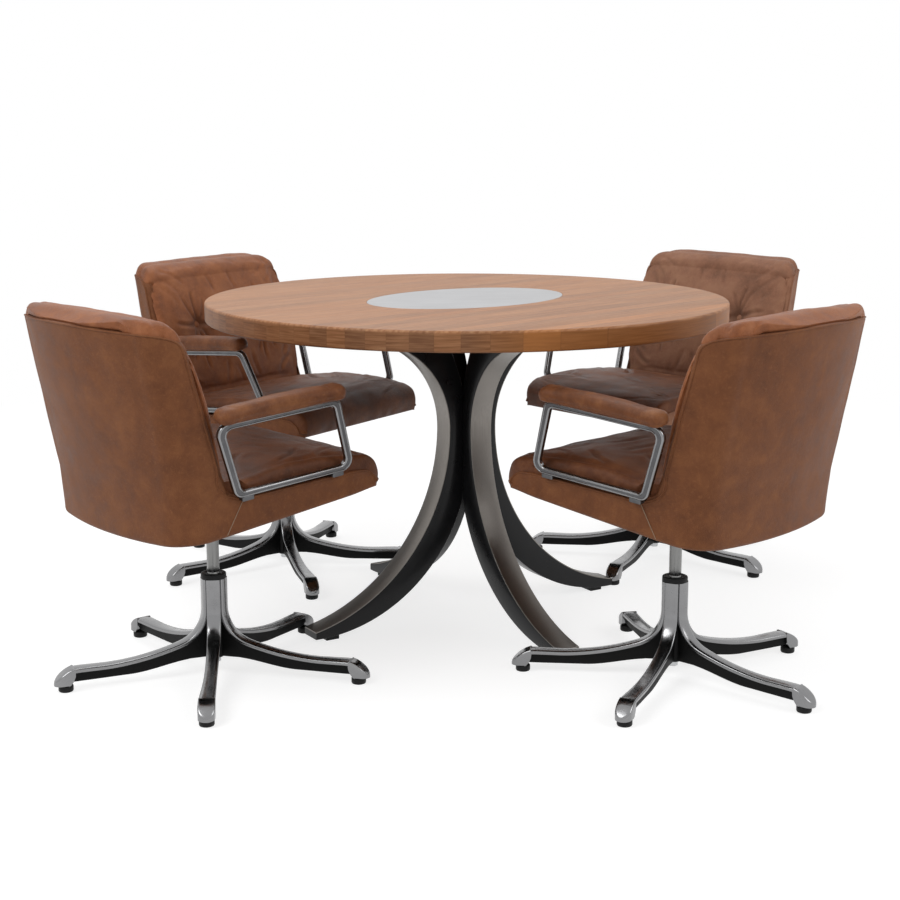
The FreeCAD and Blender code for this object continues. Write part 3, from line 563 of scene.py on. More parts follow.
metals = {
    "inset": {"name": "steel_brushed_plate", "tint": (0.44, 0.44, 0.45), "rough": 0.36,
              "streak": (1, 90, 90), "where": "room"},
    "facing": {"name": "steel_brushed_strip", "tint": (0.27, 0.25, 0.23), "rough": 0.34,
               "streak": (90, 90, 1.2)},
    "polished": {"name": "aluminium_polished", "tint": (0.26, 0.26, 0.265), "rough": 0.20, "wave": 0.35},
    "satin": {"name": "steel_satin", "tint": (0.26, 0.26, 0.255), "rough": 0.30, "streak": (60, 60, 2)},
    "raw": {"name": "steel_blackened", "tint": (0.10, 0.10, 0.105), "rough": 0.45, "scratch": 0.3,
            "where": "room"},
    # dark grey metal of the lugs, also used for the painted groove shade strips in the arm loops' channels
    "channel": {"name": "aluminium_dark_and_groove_shade", "tint": (0.13, 0.13, 0.135), "rough": 0.42},
    "zinc": {"name": "steel_zinc", "tint": (0.58, 0.59, 0.60), "rough": 0.35, "scratch": 0.3,
             "where": "room"},
}
coats = {
    "leg": {"name": "lacquer_black", "tint": (0.008, 0.008, 0.009), "rough": 0.30, "gloss": 0.22,
            "coat": 0.08},
    "web": {"name": "enamel_black", "tint": (0.006, 0.006, 0.006), "rough": 0.50, "gloss": 0.12,
            "texture": 0.3},
    "plastic": {"name": "plastic_black", "tint": (0.010, 0.010, 0.010), "rough": 0.46, "gloss": 0.2,
                "texture": 0.4},
    "felt": {"name": "cloth_black", "tint": (0.02, 0.019, 0.018), "rough": 0.9, "gloss": 0.2,
             "texture": 1.0},
    "seam": {"name": "thread_pale", "tint": (0.30, 0.20, 0.13), "rough": 0.7, "gloss": 0.3,
             "texture": 0.5},
}
paint = {part: leather(part) for part in leatherLook}  # every material by the name of what it is for
paint["oak"] = oak()
paint.update((part, metal(**look)) for part, look in metals.items())
paint.update((part, coated(**look)) for part, look in coats.items())
print("materials ready")


topSize = {
    "radius": 600, "high": 755, "thick": 44, "round": 5,
    "insetLong": 264, "insetShort": 182, "insetThick": 3, "grain": 45, "joint": 0.7,
}


# ellipse of the steel inset, grown by so much, at evenly spaced angles of the top
def ellipseRing(grow, count):
    s = topSize
    t = np.arange(count) * 2 * np.pi / count
    ring = np.stack([(s["insetLong"] + grow) * np.cos(t), (s["insetShort"] + grow) * np.sin(t), 0 * t], 1)
    return turned(ring, s["grain"])


# oak disc: rings grow from the recess's floor up its edge, out over the top, rim and underside
def buildTop():
    s, count = topSize, 240
    t = np.arange(count) * 2 * np.pi / count
    circle = turned(np.stack([np.cos(t), np.sin(t), 0 * t], 1), s["grain"])
    up = np.array([0, 0, 1.0])
    floor, high, low = s["high"] - s["insetThick"], s["high"], s["high"] - s["thick"]
    levels = ((-150, floor), (0, floor), (0, high - s["joint"]), (s["joint"], high))
    rings = [ellipseRing(grow, count) * [1, 1, 0] + up * z for grow, z in levels]
    edge = ellipseRing(s["joint"], count)
    for part in np.linspace(0.03, 1, 12):
        rings.append(edge * (1 - part) + circle * (s["radius"] - s["round"]) * part + up * high)
    for z, by in roundEnds(low, high, s["round"], 7)[::-1]:
        rings.append(circle * (s["radius"] - by) + up * z)
    rings.append(circle * 20 + up * low)
    top = moved(solid(rings), lambda p: p + tableAxis)
    makePiece("oak_top", "table", [top], paint["oak"], ["table_top"])


# oval plate in the recess, its upper edge chamfered
def buildInset():
    s, count = topSize, 200
    low, high, chamfer = s["high"] - s["insetThick"], s["high"], s["joint"]
    levels = ((-120, low), (-0.2, low), (-0.2, high - chamfer), (-chamfer, high), (-120, high))
    rings = [ellipseRing(grow, count) + [0, 0, z] for grow, z in levels]
    plate = moved(solid(rings), lambda p: p + tableAxis)
    makePiece("steel_inset", "table", [plate], paint["inset"], ["table_inset"])


legSize = {
    "azimuth": 32, "wide": 57, "edge": 1.6, "facing": 2.0, "steps": 72,
    "faceNear": 61.5, "faceLevel": 456, "faceLow": 441, "faceHigh": 215,
    "backNear": 9, "backLevel": 404, "backLow": 396.5, "backHigh": 570,
    "tip": 418, "reach": 285, "under": 705,
    "stripSink": 0.3, "stripBack": 0.6, "stripEdge": 0.7,  # strip let into the leg, kept back at its sides
}


# hollow face of a bow, moved into the leg by so much: low arc, high arc, then level to the end
def legFace(deep, count):
    s = legSize
    low, high = s["faceLow"] + deep, s["faceHigh"] + deep
    nearest = s["faceNear"] - deep
    first = math.asin((s["tip"] - s["faceNear"] - s["faceLow"]) / low)
    a = np.linspace(first, -np.pi / 2, 60)
    lower = np.stack([nearest + low + low * np.sin(a), s["faceLevel"] - low * np.cos(a)], 1)
    b = np.linspace(0, np.pi / 2, 40)[1:]
    upper = np.stack([nearest + high - high * np.cos(b), s["faceLevel"] + high * np.sin(b)], 1)
    level = [[s["reach"], s["faceLevel"] + high]]
    return evenly(np.concatenate([lower, upper, level]), count)


# back of a bow: low arc from the tip, flat where the four bows meet, high arc, then under the cross
def legBack(count):
    s = legSize
    flat = s["wide"] / 2
    z = s["backLevel"]
    lowArc = np.linspace(s["tip"], flat, 60)
    lowZ = z - np.sqrt(s["backLow"] ** 2 - (lowArc - s["backNear"] - s["backLow"]) ** 2)
    topR = s["backNear"] + s["backHigh"] - math.sqrt(s["backHigh"] ** 2 - (s["under"] - z) ** 2)
    highArc = np.linspace(flat, topR, 30)
    highZ = z + np.sqrt(s["backHigh"] ** 2 - (highArc - s["backNear"] - s["backHigh"]) ** 2)
    low, high = np.stack([lowArc, lowZ], 1), np.stack([highArc, highZ], 1)
    return evenly(np.concatenate([low, high, [[s["reach"], s["under"]]]]), count)


# bar of oblong section: near and far lines in the (radius, height) plane, the section's corners round
def flatBar(near, far, half, edge):
    a = np.linspace(0, np.pi / 2, 4)
    depth = unit(far - near)
    thick = np.linalg.norm(far - near, axis=1)[:, None]
    corners = []
    for sideways, deep in ((1, 0), (1, 1), (-1, 1), (-1, 0)):
        steps = a if (sideways == 1) == (deep == 1) else a[::-1]
        for step in steps:
            wide = sideways * (half - edge * (1 - math.cos(step)))
            inward = edge * (1 - math.sin(step))
            corners.append((wide, deep, inward))
    rings = []
    for wide, deep, inward in corners:
        flat = near + depth * (inward if deep == 0 else thick - inward)
        rings.append(np.column_stack([flat[:, 0], np.full(len(flat), wide), flat[:, 1]]))
    return solid(np.swapaxes(np.array(rings), 0, 1))


# four black bows and the steel strips on their hollow faces
def buildLegs():
    s = legSize
    count = s["steps"]
    skin, face, back = legFace(-s["facing"], count), legFace(0, count), legBack(count)
    bow = flatBar(face, back, s["wide"] / 2, s["edge"])
    strip = flatBar(skin, legFace(s["stripSink"], count), s["wide"] / 2 - s["stripBack"], s["stripEdge"])
    strips = []
    for quarter, corner in enumerate(("back_right", "back_left", "front_left", "front_right")):
        turn = s["azimuth"] + 90 * quarter
        leg = moved(bow, lambda p: turned(p, turn) + tableAxis)
        makePiece(f"bow_leg_{corner}", "table", [leg], paint["leg"], [f"table_leg_{corner}"])
        strips.append(moved(strip, lambda p: turned(p, turn) + tableAxis))
    makePiece("leg_strips", "table", strips, paint["facing"], ["table_leg_facings"])


# new material on a CAD node that is shown as it is
def repaint(node, finish):
    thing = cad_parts[node]
    for materialSlot in thing.material_slots:
        materialSlot.material = finish


buildTop()
buildInset()
buildLegs()
plain = {"leg_core": "leg", "leg_glides": "plastic", "top_cross": "raw", "top_screws": "zinc"}
for node, part in plain.items():
    repaint(f"table_{node}", paint[part])
print("table ready")


starSize = {
    "arms": 5, "hub": 27, "core": 20, "hubTop": 211, "hubLow": 36,
    "ribHigh": 209.5, "bendAt": 143, "bend": 70, "fall": 73, "sweep": 540,
    "runOut": [(233, 49.5), (297, 50.3), (306, 49.0)],
    "ribHalf": 14.8, "waistHalf": 13.6, "footHalf": 17, "deep": 9.5, "webHalf": 8.5, "crownFlat": 0.80,
    "tip": 342.5, "heel": 299, "footLow": 14, "footHigh": 50.6, "dip": 28, "dipFrom": 297, "footEdge": 4.5,
    "footLevels": ((0, 1.5, 13), (0.06, 0, 11), (0.3, 0, 5), (0.6, 0, 1)),  # share of height, inset, push
    "webLow": (38, 21, 20),  # lower edge of the web at the hub, along the arm and at its end
    "glideAt": 318, "glideRadius": 15.5,
    "ring": [(13.06, 208), (26.5, 208), (26.9, 209), (26.9, 218), (26.2, 219.6), (24.6, 220.4),
             (15.4, 220.4), (13.06, 218.6)],
    "column": [(0.3, 23.2), (5, 23.2), (6, 24.2), (6, 46.2), (12.6, 46.2), (13, 46.8), (13, 221.6),
               (12.5, 222.4), (12.5, 223.4), (13, 224.2)],
}


# top line of an arm in its upright plane, with the way into the arm at each point: the line runs down
# the hub, round the bend, out and level to the foot
def armTop():
    s = starSize
    turn = math.radians(s["fall"])
    foot = (s["hub"] + s["bend"] * (1 - math.cos(turn)), s["bendAt"] - s["bend"] * math.sin(turn))
    line = along([(s["hub"], s["ribHigh"]), (s["hub"], s["bendAt"], s["bend"]), (*foot, s["sweep"]),
                  *s["runOut"]], 24)
    line = smoothed(evenly(line, 90), 3)
    way = unit(np.gradient(line, axis=0))
    return line, np.stack([way[:, 1], -way[:, 0]], 1)


# half-width of an arm at radius r: it narrows past the hub and widens to the foot
def armHalf(r):
    s = starSize
    waist = s["waistHalf"] + (s["ribHalf"] - s["waistHalf"]) * ease(-r, -130, -30)
    return waist + (s["footHalf"] - s["waistHalf"]) * ease(r, 150, 320)


# polished upper part of an arm: a crowned strip of even depth carried along the arm's top line
def armCrown():
    s = starSize
    line, down = armTop()
    half = armHalf(line[:, 0])
    turn = np.linspace(0, np.pi / 2, 6)
    across, drop = [], []
    for w in np.linspace(-1, 1, 13)[1:-1]:
        across.append(w * s["crownFlat"])
        drop.append(1.6 * w * w * 0.64)
    bevel = 1 - s["crownFlat"]
    edge = [(s["crownFlat"] + bevel * math.sin(a), 1.3 + 3.6 * (1 - math.cos(a))) for a in turn]
    across = [-x for x, _ in edge[::-1]] + across + [x for x, _ in edge]
    drop = [z for _, z in edge[::-1]] + drop + [z for _, z in edge]
    under = [(0.98, s["deep"] - 0.8), (0.90, s["deep"]), (-0.90, s["deep"]), (-0.98, s["deep"] - 0.8)]
    across += [x for x, _ in under]
    drop += [z for _, z in under]
    across, drop = np.array(across), np.array(drop)
    spine = line[:, None] + down[:, None] * drop[None, :, None]
    rings = np.stack([spine[..., 0], half[:, None] * across[None], spine[..., 1]], -1)
    return solid(rings)


# polished foot block: the plan of the arm's end, upright sides, and a top that dips to the tip
def armFoot():
    s = starSize
    shoulder = s["tip"] - s["footHalf"]
    angles = np.linspace(-np.pi / 2, np.pi / 2, 21)
    nose = np.stack([shoulder + s["footHalf"] * np.cos(angles), s["footHalf"] * np.sin(angles)], 1)
    flank = np.linspace(s["heel"], shoulder, 9)[:-1]
    side = np.stack([flank, armHalf(flank) + 0.4], 1)
    back = [[s["heel"], y] for y in (6, 0, -6)]
    ring = np.concatenate([side * [1, -1], nose, side[::-1], back])
    rings = []

    def topAt(r):
        share = np.clip((r - s["dipFrom"]) / (s["tip"] - s["dipFrom"]), 0, 1)
        return s["footHigh"] - s["dip"] * share ** 1.8
    heelward = 1 - ease(ring[:, 0], s["heel"], s["heel"] + 24)
    for share, by, push in s["footLevels"]:
        plan = inset(ring, by)
        plan[:, 0] += push * heelward
        high = topAt(plan[:, 0]) - s["footEdge"] - s["footLow"]
        rings.append(np.column_stack([plan, s["footLow"] + share * high]))
    for a in np.linspace(0, np.pi / 2, 6):
        plan = inset(ring, 4 * (1 - math.cos(a)))
        rings.append(np.column_stack([plan, topAt(plan[:, 0]) - s["footEdge"] * (1 - math.sin(a))]))
    middle = np.array([0.5 * (s["heel"] + s["tip"]), 0])
    for part in (0.55, 0.2):
        plan = middle + (inset(ring, 4) - middle) * part
        rings.append(np.column_stack([plan, topAt(plan[:, 0]) + 0.5 * (1 - part)]))
    return solid(rings)


# black web under the crown, from the hub to the foot, deepest at the hub
def armWeb():
    s = starSize
    line, down = armTop()
    high = line + down * (s["deep"] - 1)
    r = np.clip(high[:, 0], 12, None)
    atHub, alongArm, atEnd = s["webLow"]
    low = np.where(r < 60, atHub, atHub - (atHub - alongArm) * ease(r, 45, 185))
    low = low - (alongArm - atEnd) * ease(r, 150, 300)
    keep = high[:, 1] > low + 1
    high, r, low = high[keep], r[keep], low[keep]
    inner = np.clip(r - 6, 12, None)
    rings = []
    for (hr, hz), lr, lz in zip(high, np.where(r < 45, inner, r), low):
        w, e = s["webHalf"], 2.0
        rings.append([(hr, -w, hz), (lr, -w, lz + e), (lr, -w + e, lz), (lr, w - e, lz), (lr, w, lz + e),
                      (hr, w, hz)])
    return solid(rings)


# one casting: five arms round the hub, polished above and black below
def buildStar(side):
    s = starSize
    shapes, finishes = [], []
    crown, foot, web = armCrown(), armFoot(), armWeb()
    for k in range(s["arms"]):
        turn = 360 / s["arms"] * k
        for shape, finish in ((crown, "polished"), (foot, "polished"), (web, "web")):
            shapes.append(moved(shape, lambda p: turned(p, turn)))
            finishes.append(paint[finish])
    r, low, top = s["core"], s["hubLow"], s["hubTop"]
    core = [(0.5, low), (r - 2, low), (r, low + 2), (r, top - 0.3),
            (17, top - 0.3), (17, top - 3), (0.5, top - 3)]
    shapes.append(lathe(core, 48))
    finishes.append(paint["web"])
    chairPiece(side, "star", "star", shapes, finishes, "star_base", 30)


# black ring on the hub, and round floor glides under the feet
def buildBushAndGlides(side):
    s = starSize
    ring = ringLathe(s["ring"], 64)
    chairPiece(side, "star", "hub_ring", [ring], paint["plastic"], "hub_bush")
    r = s["glideRadius"]
    profile = [(0.3, 0), (r - 3, 0), (r - 1, 0.9), (r, 3),
               (r, 11.5), (r - 0.8, 13), (r - 2, 13.9), (0.3, 13.9)]
    glides = []
    for k in range(s["arms"]):
        turn = math.radians(360 / s["arms"] * k)
        at = (s["glideAt"] * math.cos(turn), s["glideAt"] * math.sin(turn))
        glides.append(lathe(profile, 40, at))
    chairPiece(side, "star", "glides", glides, paint["plastic"], "foot_glides")


# satin steel column up to the seat plate, with a turned shoulder where it enters the ring
def buildSpindle(side):
    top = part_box(f"{side}_spindle")[1][2] * 1000
    profile = starSize["column"] + [(13, top - 0.6), (12.4, top), (0.3, top)]
    chairPiece(side, "seat", "column", [lathe(profile, 56)], paint["satin"], "spindle")
    repaint(f"{side}_spindle_nut", paint["zinc"])
    repaint(f"{side}_seat_plate", paint["raw"])


for side in chairs:
    buildStar(side)
    buildBushAndGlides(side)
    buildSpindle(side)
print("star bases ready")


shellSize = {
    "wall": 14, "rim": 7, "slope": 6.8, "frontY": 252, "frontZ": 410, "foot": 9,
    "level": [335, 455, 560, 670, 810],
    "corner": [246, 244, 243.6, 242.6, 240],
    "cornerY": [-236, -243, -260, -280, -304],
    "back": [-252, -266, -292, -317, -348],
    "side": [257, 250, 422, 483, 534],
    "turn": [72, 58, 46, 40, 38],
    "backSpan": 210, "cornerSpan": 70,
    "edge": [(252, 421), (252, 424, 45), (206, 452), (187, 453), (-92, 438), (-120, 447, -40), (-146, 493),
             (-220.4, 742.7, 40), (-254.2, 771)],  # upper edge seen from the side: (y, z, radius of its arc)
    "footMarks": [(-262, -166), (-254, -161), (-220, -140), (-146, -88), (-120, -66), (-92, -42),
                  (187, 203), (206, 222), (252, 245)],  # y of a column's head, and y of its foot
    "topFall": 0.1123, "topCorner": 220, "topHigh": 773.5, "topCrown": 9, "topRound": 46.5,
    "plateY": 236, "plateIn": 20,
    "columns": 170, "rows": 36, "welt": 1.9, "seam": 0.9,
}


# height of the shell's underside at y
def floorAt(y):
    s = shellSize
    return s["frontZ"] - (s["frontY"] - y) * math.tan(math.radians(s["slope"]))


# the shell's plan line at a height, moved inward by so much: a flat arc behind, a tighter arc at each
# corner, and a straight side; the sizes are read between five levels
def planAt(z, inward):
    s = shellSize
    corner, cornerY, back, sideways, turn = (np.interp(z, s["level"], s[key])
                                             for key in ("corner", "cornerY", "back", "side", "turn"))
    corner, sideways, cornerY, back = corner - inward, sideways - inward, cornerY + inward, back + inward
    reach, rise = corner - turn, cornerY - back
    radius = (reach ** 2 + rise ** 2) / (2 * rise)
    bend, chord = 1.2 * turn, np.hypot(turn, turn - 2)
    off = np.sqrt(bend ** 2 - chord ** 2 / 4)
    middleX = reach + turn / 2 - off * (turn - 2) / chord
    middleY = cornerY + (turn - 2) / 2 + off * turn / chord
    return {"corner": corner, "cornerY": cornerY, "back": back, "side": sideways, "turn": turn,
            "reach": reach, "radius": radius, "bend": bend, "chord": chord, "x": middleX, "y": middleY}


# point of the shell's face: t runs along the plan line from the middle of the back, z is the height
def shellPoint(t, z, inward=0.0):
    s = shellSize
    t, z, inward = np.broadcast_arrays(*(np.asarray(v, float) for v in (t, z, inward)))
    p = planAt(z, inward)
    x0 = p["reach"] * np.clip(t / s["backSpan"], 0, 1)
    y0 = p["back"] + p["radius"] - np.sqrt(p["radius"] ** 2 - x0 ** 2)
    a = np.clip((t - s["backSpan"]) / s["cornerSpan"], 0, 1)
    start = np.arctan2(p["cornerY"] - p["y"], p["reach"] - p["x"])
    angle = start + 2 * np.arcsin(p["chord"] / 2 / p["bend"]) * a
    x1, y1 = p["x"] + p["bend"] * np.cos(angle), p["y"] + p["bend"] * np.sin(angle)
    ahead = np.clip(t - s["backSpan"] - s["cornerSpan"], 0, None)
    y2 = p["cornerY"] + p["turn"] - 2 + ahead
    x2 = p["corner"] + (p["side"] - p["corner"]) * ahead / (302 - p["cornerY"] - p["turn"])
    rear, turnPart = t <= s["backSpan"], t <= s["backSpan"] + s["cornerSpan"]
    x = np.where(rear, x0, np.where(turnPart, x1, x2))
    y = np.where(rear, y0, np.where(turnPart, y1, y2))
    return np.stack([x, y, z], -1)


# the plan coordinate t of a point of the side at y and height z
def pathAt(y, z):
    s = shellSize
    back = np.interp(z, s["level"], s["cornerY"]) + np.interp(z, s["level"], s["turn"])
    return s["backSpan"] + s["cornerSpan"] + y - back + 2


# y of the shell's face behind a point at x, moved inward by so much
def rearAt(x, z, inward):
    p = planAt(z, inward)
    x = np.abs(x)
    flat = p["back"] + p["radius"] - np.sqrt(p["radius"] ** 2 - np.minimum(x, p["reach"]) ** 2)
    bent = p["y"] - np.sqrt(np.maximum(p["bend"] ** 2 - (x - p["x"]) ** 2, 0))
    return np.where(x < p["reach"], flat, bent)


# half-width between the shell's faces beside a point at y, moved inward by so much
def halfAt(y, z, inward):
    p = planAt(z, inward)
    start = p["cornerY"] + p["turn"] - 2
    straight = p["corner"] + (p["side"] - p["corner"]) * (y - start) / (300 - start)
    bent = p["x"] + np.sqrt(np.maximum(p["bend"] ** 2 - (np.minimum(y, start) - p["y"]) ** 2, 0))
    return np.where(y > start, straight, np.maximum(bent, p["reach"]))


# upper edge of the right half as (t, z): front end, seat side, wing, then along the back's top
def shellTop(count):
    s = shellSize
    line = along(s["edge"])
    t, z = pathAt(line[:, 0], line[:, 1]), line[:, 1]
    cornerY, cornerZ = s["edge"][-1]
    rear = np.linspace(t[-1], 0, 50)[1:]
    high = np.full(len(rear), 780.0)
    for _ in range(4):
        high = cornerZ + (cornerY - shellPoint(rear, high)[:, 1]) * s["topFall"]
    t, z = np.concatenate([t, rear]), np.concatenate([z, high])
    x = np.abs(shellPoint(t, z)[:, 0])
    over = np.clip(x - s["topCorner"], 0, s["topRound"] - 0.5)
    limit = s["topHigh"] - s["topRound"] + np.sqrt(s["topRound"] ** 2 - over ** 2)
    limit = np.where(x < s["topCorner"], s["topHigh"] + s["topCrown"] * (1 - x / s["topCorner"]), limit)
    line = evenly(np.stack([t, np.minimum(z, limit)], 1), count)
    return smoothed(line, 3)


# height at which the shell's face at t meets its underside, found from a first guess
def onFloor(t, z, inward=0.0):
    for _ in range(4):
        z = floorAt(shellPoint(t, z, inward)[:, 1])
    return z


# right half, from the front end to the middle of the back, with its mirror image after it
def bothSides(right):
    return np.concatenate([right, right[:-1][::-1] * [-1, 1, 1]])


# the sides draw in where they end beside the front roll of the seat
def tucked(points):
    points[..., 0] -= 7 * ease(points[..., 1], 175, 250) * np.sign(points[..., 0])
    return points


# edge of the wall with the direction into the sheet, and the foot of each column, all as (t, z)
def shellColumns():
    s = shellSize
    edge = shellTop(s["columns"])
    way = unit(np.gradient(edge, axis=0))
    into = np.stack([-way[:, 1], way[:, 0]], 1)
    front = s["backSpan"] + s["cornerSpan"]
    topY = shellPoint(edge[:, 0], edge[:, 1])[:, 1]
    marks = np.array(s["footMarks"], float)
    lowY = np.interp(topY, marks[:, 0], marks[:, 1])
    low = np.where(edge[:, 0] > front, pathAt(lowY, floorAt(lowY)), edge[:, 0])
    low = np.minimum.accumulate(low)
    return edge, into, np.stack([low, onFloor(low, floorAt(lowY))], 1)


# wall of the shell: each column is a closed section, up the outer face from the rounded foot, over the
# half-round rim and down the inner face; the columns run round from one front end to the other
def shellWall(seed):
    s = shellSize
    edge, into, low = shellColumns()
    rise = np.array([0, 1.0])
    foot = [low + rise * s["foot"] * (1 - math.sin(a)) for a in np.linspace(np.pi / 2, 0, 6)[:-1]]
    footIn = [s["foot"] * (1 - math.cos(a)) for a in np.linspace(np.pi / 2, 0, 6)[:-1]]
    start, top = low + rise * s["foot"], edge + into * s["rim"]
    parts = np.linspace(0, 1, s["rows"])
    outer = [start * (1 - p) + top * p for p in parts]
    turns = np.linspace(0, np.pi, 11)[1:-1]
    rim = [edge + into * s["rim"] * (1 - math.sin(a)) for a in turns]
    rimIn = [s["rim"] * (1 - math.cos(a)) for a in turns]
    inner = [low * p + top * (1 - p) for p in np.linspace(0, 1, 12)]
    lines = np.array(foot + outer + rim + inner)
    inward = np.array(footIn + [0.0] * len(outer) + rimIn + [float(s["wall"])] * len(inner))[:, None]
    inward = inward + 0 * lines[..., 0]
    soft = slice(len(foot), len(foot) + len(outer))
    t, z = lines[soft, :, 0], lines[soft, :, 1]
    fade = np.sin(np.pi * np.clip(parts, 0, 1))[:, None] ** 0.5
    inward[soft] += fade * (0.9 + 0.5 * noise(t / 70, z / 85, seed) + 0.3 * noise(t / 24, z / 30, seed + 5))
    right = tucked(shellPoint(lines[..., 0], lines[..., 1], inward)).swapaxes(0, 1)
    right[-1, :, 0] = 0
    return solid(bothSides(right))


# line on the rim at an angle over it, from one front end to the other
def rimLine(turn, lift):
    s = shellSize
    edge, into, _ = shellColumns()
    reach = s["rim"] + lift
    line = edge + into * (s["rim"] - reach * math.sin(turn))
    right = tucked(shellPoint(line[:, 0], line[:, 1], s["rim"] - reach * math.cos(turn)))
    right[-1, 0] = 0
    return bothSides(right)


# felt plate under the floor of the shell
def shellPlate():
    s = shellSize
    t = np.concatenate([np.linspace(pathAt(s["plateY"], 400), 285, 40), np.linspace(280, 0, 60)])
    z = onFloor(t, np.full(len(t), 370.0), s["plateIn"])
    ring = bothSides(shellPoint(t, z, s["plateIn"]))
    middle = ring.mean(0)
    levels = [(0.98, 0.9), (1, 1.6), (1, 10), (0.98, 11)]
    return solid([middle + (ring - middle) * [k, k, 1] + [0, 0, lift] for k, lift in levels])


# leather of a part of one chair
def hideOf(side, part):
    return paint["dull" if chairs[side]["dull"] else part]


# wall with a welt along either edge of its rim, an upright seam on each side, and the plate below
def buildShell(side):
    s = shellSize
    shapes = [shellWall(chairs[side]["seed"])]
    hide = hideOf(side, "shell")
    finishes = [hide]
    for turn in (0.62, np.pi - 0.62):
        shapes.append(tube(evenly(rimLine(turn, 0.7), 420), s["welt"], 8))
        finishes.append(hide)
    for sign in (1, -1):
        y = np.linspace(-88, -128, 30)
        z = np.linspace(436, floorAt(-128) + 5, 30)
        seam = shellPoint(pathAt(y, z), z, -0.1) * [sign, 1, 1]
        shapes.append(tube(seam, s["seam"], 6))
        finishes.append(paint["seam"])
    shapes.append(shellPlate())
    finishes.append(paint["felt"])
    chairPiece(side, "seat", "shell", shapes, finishes, "seat_shell", 50)


# depth of sewn and pressed-in lines over a flat field: each line is (u0, v0, u1, v1, bow, depth, width) and
# sinks by a bell of its width, with a low ridge on either side, fading out towards both of its ends
def creaseDepth(u, v, lines):
    depth = np.zeros(np.broadcast(u, v).shape)
    for u0, v0, u1, v1, bow, deep, wide in lines:
        du, dv = u1 - u0, v1 - v0
        length = math.hypot(du, dv)
        s = ((u - u0) * du + (v - v0) * dv) / length ** 2
        off = ((u - u0) * dv - (v - v0) * du) / length - bow * 4 * s * (1 - s)
        fade = np.clip(s / 0.22, 0, 1) * np.clip((1 - s) / 0.22, 0, 1)
        fade = fade * fade * (3 - 2 * fade)
        depth += fade * deep * (bell(off, wide) - 0.35 * bell(np.abs(off) - 2.1 * wide, wide))
    return depth


# outward directions of a grid of points, rings first
def gridNormals(rings):
    across = np.gradient(rings, axis=0)
    around = np.roll(rings, -1, 1) - np.roll(rings, 1, 1)
    normal = unit(np.cross(across, around))
    middle = rings.mean(1, keepdims=True)
    return normal * np.sign(np.mean(np.sum(normal * (rings - middle), -1)))


# a remeshed copy of the closed form swells as cloth for twenty steps: its points before, and their shifts
def blownUp(rings, pressure, voxel):
    points, quads, fans = solid(rings)
    mesh = bpy.data.meshes.new("swelling")
    mesh.from_pydata((points / 1000).tolist(), [], quads.tolist() + fans.tolist())
    thing = bpy.data.objects.new("swelling", mesh)
    scene.collection.objects.link(thing)
    remesh = thing.modifiers.new("even", "REMESH")
    remesh.mode, remesh.voxel_size = "VOXEL", voxel / 1000
    graph = bpy.context.evaluated_depsgraph_get()
    even = bpy.data.meshes.new_from_object(thing.evaluated_get(graph))
    thing.modifiers.clear()
    thing.data = even
    before, after = np.zeros(len(even.vertices) * 3), np.zeros(len(even.vertices) * 3)
    even.vertices.foreach_get("co", before)
    cloth = thing.modifiers.new("cloth", "CLOTH")
    cloth.settings.quality = 4
    cloth.settings.mass = 0.3
    cloth.settings.use_pressure = True
    cloth.settings.uniform_pressure_force = pressure
    cloth.settings.effector_weights.gravity = 0
    cloth.point_cache.frame_start, cloth.point_cache.frame_end = 1, 20
    for step in range(1, 21):
        scene.frame_set(step)
    graph = bpy.context.evaluated_depsgraph_get()
    thing.evaluated_get(graph).data.vertices.foreach_get("co", after)
    bpy.data.objects.remove(thing)
    bpy.data.meshes.remove(mesh)
    bpy.data.meshes.remove(even)
    scene.frame_set(1)
    before, after = before.reshape(-1, 3) * 1000, after.reshape(-1, 3) * 1000
    return before, np.nan_to_num(after - before)


# the form with each point moved along its normal as the cloth near it moved, outward by no more than cap;
# free is 1 where the form may swell and 0 where seams and ends hold it
def swollen(rings, free, cap, pressure, voxel=6.0):
    before, shift = blownUp(rings, pressure, voxel)
    tree = mathutils.kdtree.KDTree(len(before))
    for k, point in enumerate(before):
        tree.insert(point, k)
    tree.balance()
    outward = (gridNormals(rings) * free[..., None]).reshape(-1, 3)
    facing = gridNormals(rings).reshape(-1, 3)
    out = rings.reshape(-1, 3).copy()
    for k, point in enumerate(out):
        near = tree.find_n(point, 4)
        weight = np.array([1 / (d + 0.5) for _, _, d in near])
        move = (shift[[i for _, i, _ in near]] * weight[:, None]).sum(0) / weight.sum()
        out[k] += outward[k] * np.clip(move @ facing[k], -1.0, cap)
    return out.reshape(rings.shape)


# loop of points drawn in towards a line inside it
def drawnIn(loop, spine, share):
    spine = evenly(spine, 60)
    near = spine[np.argmin(np.linalg.norm(loop[:, None] - spine[None], axis=2), axis=1)]
    return near + (loop - near) * share


seatSize = {
    "flat": 229, "insert": 225, "edge": 14, "rear": -120, "rearWide": -86, "shrink": 2.0,
    "stations": 96, "upper": 120, "lower": 40, "cap": 6, "pressure": 4.0,
    "line": [(253.5, 410.5), (259, 409.5, 60), (262, 446, 50), (214, 484, 900), (-88, 475)], "rearHigh": 474,
    "spine": [(-70, 457), (190, 471), (220, 462), (236, 447), (242, 432)],
    "under": 19, "planRound": 18, "sideDrop": 5,
}


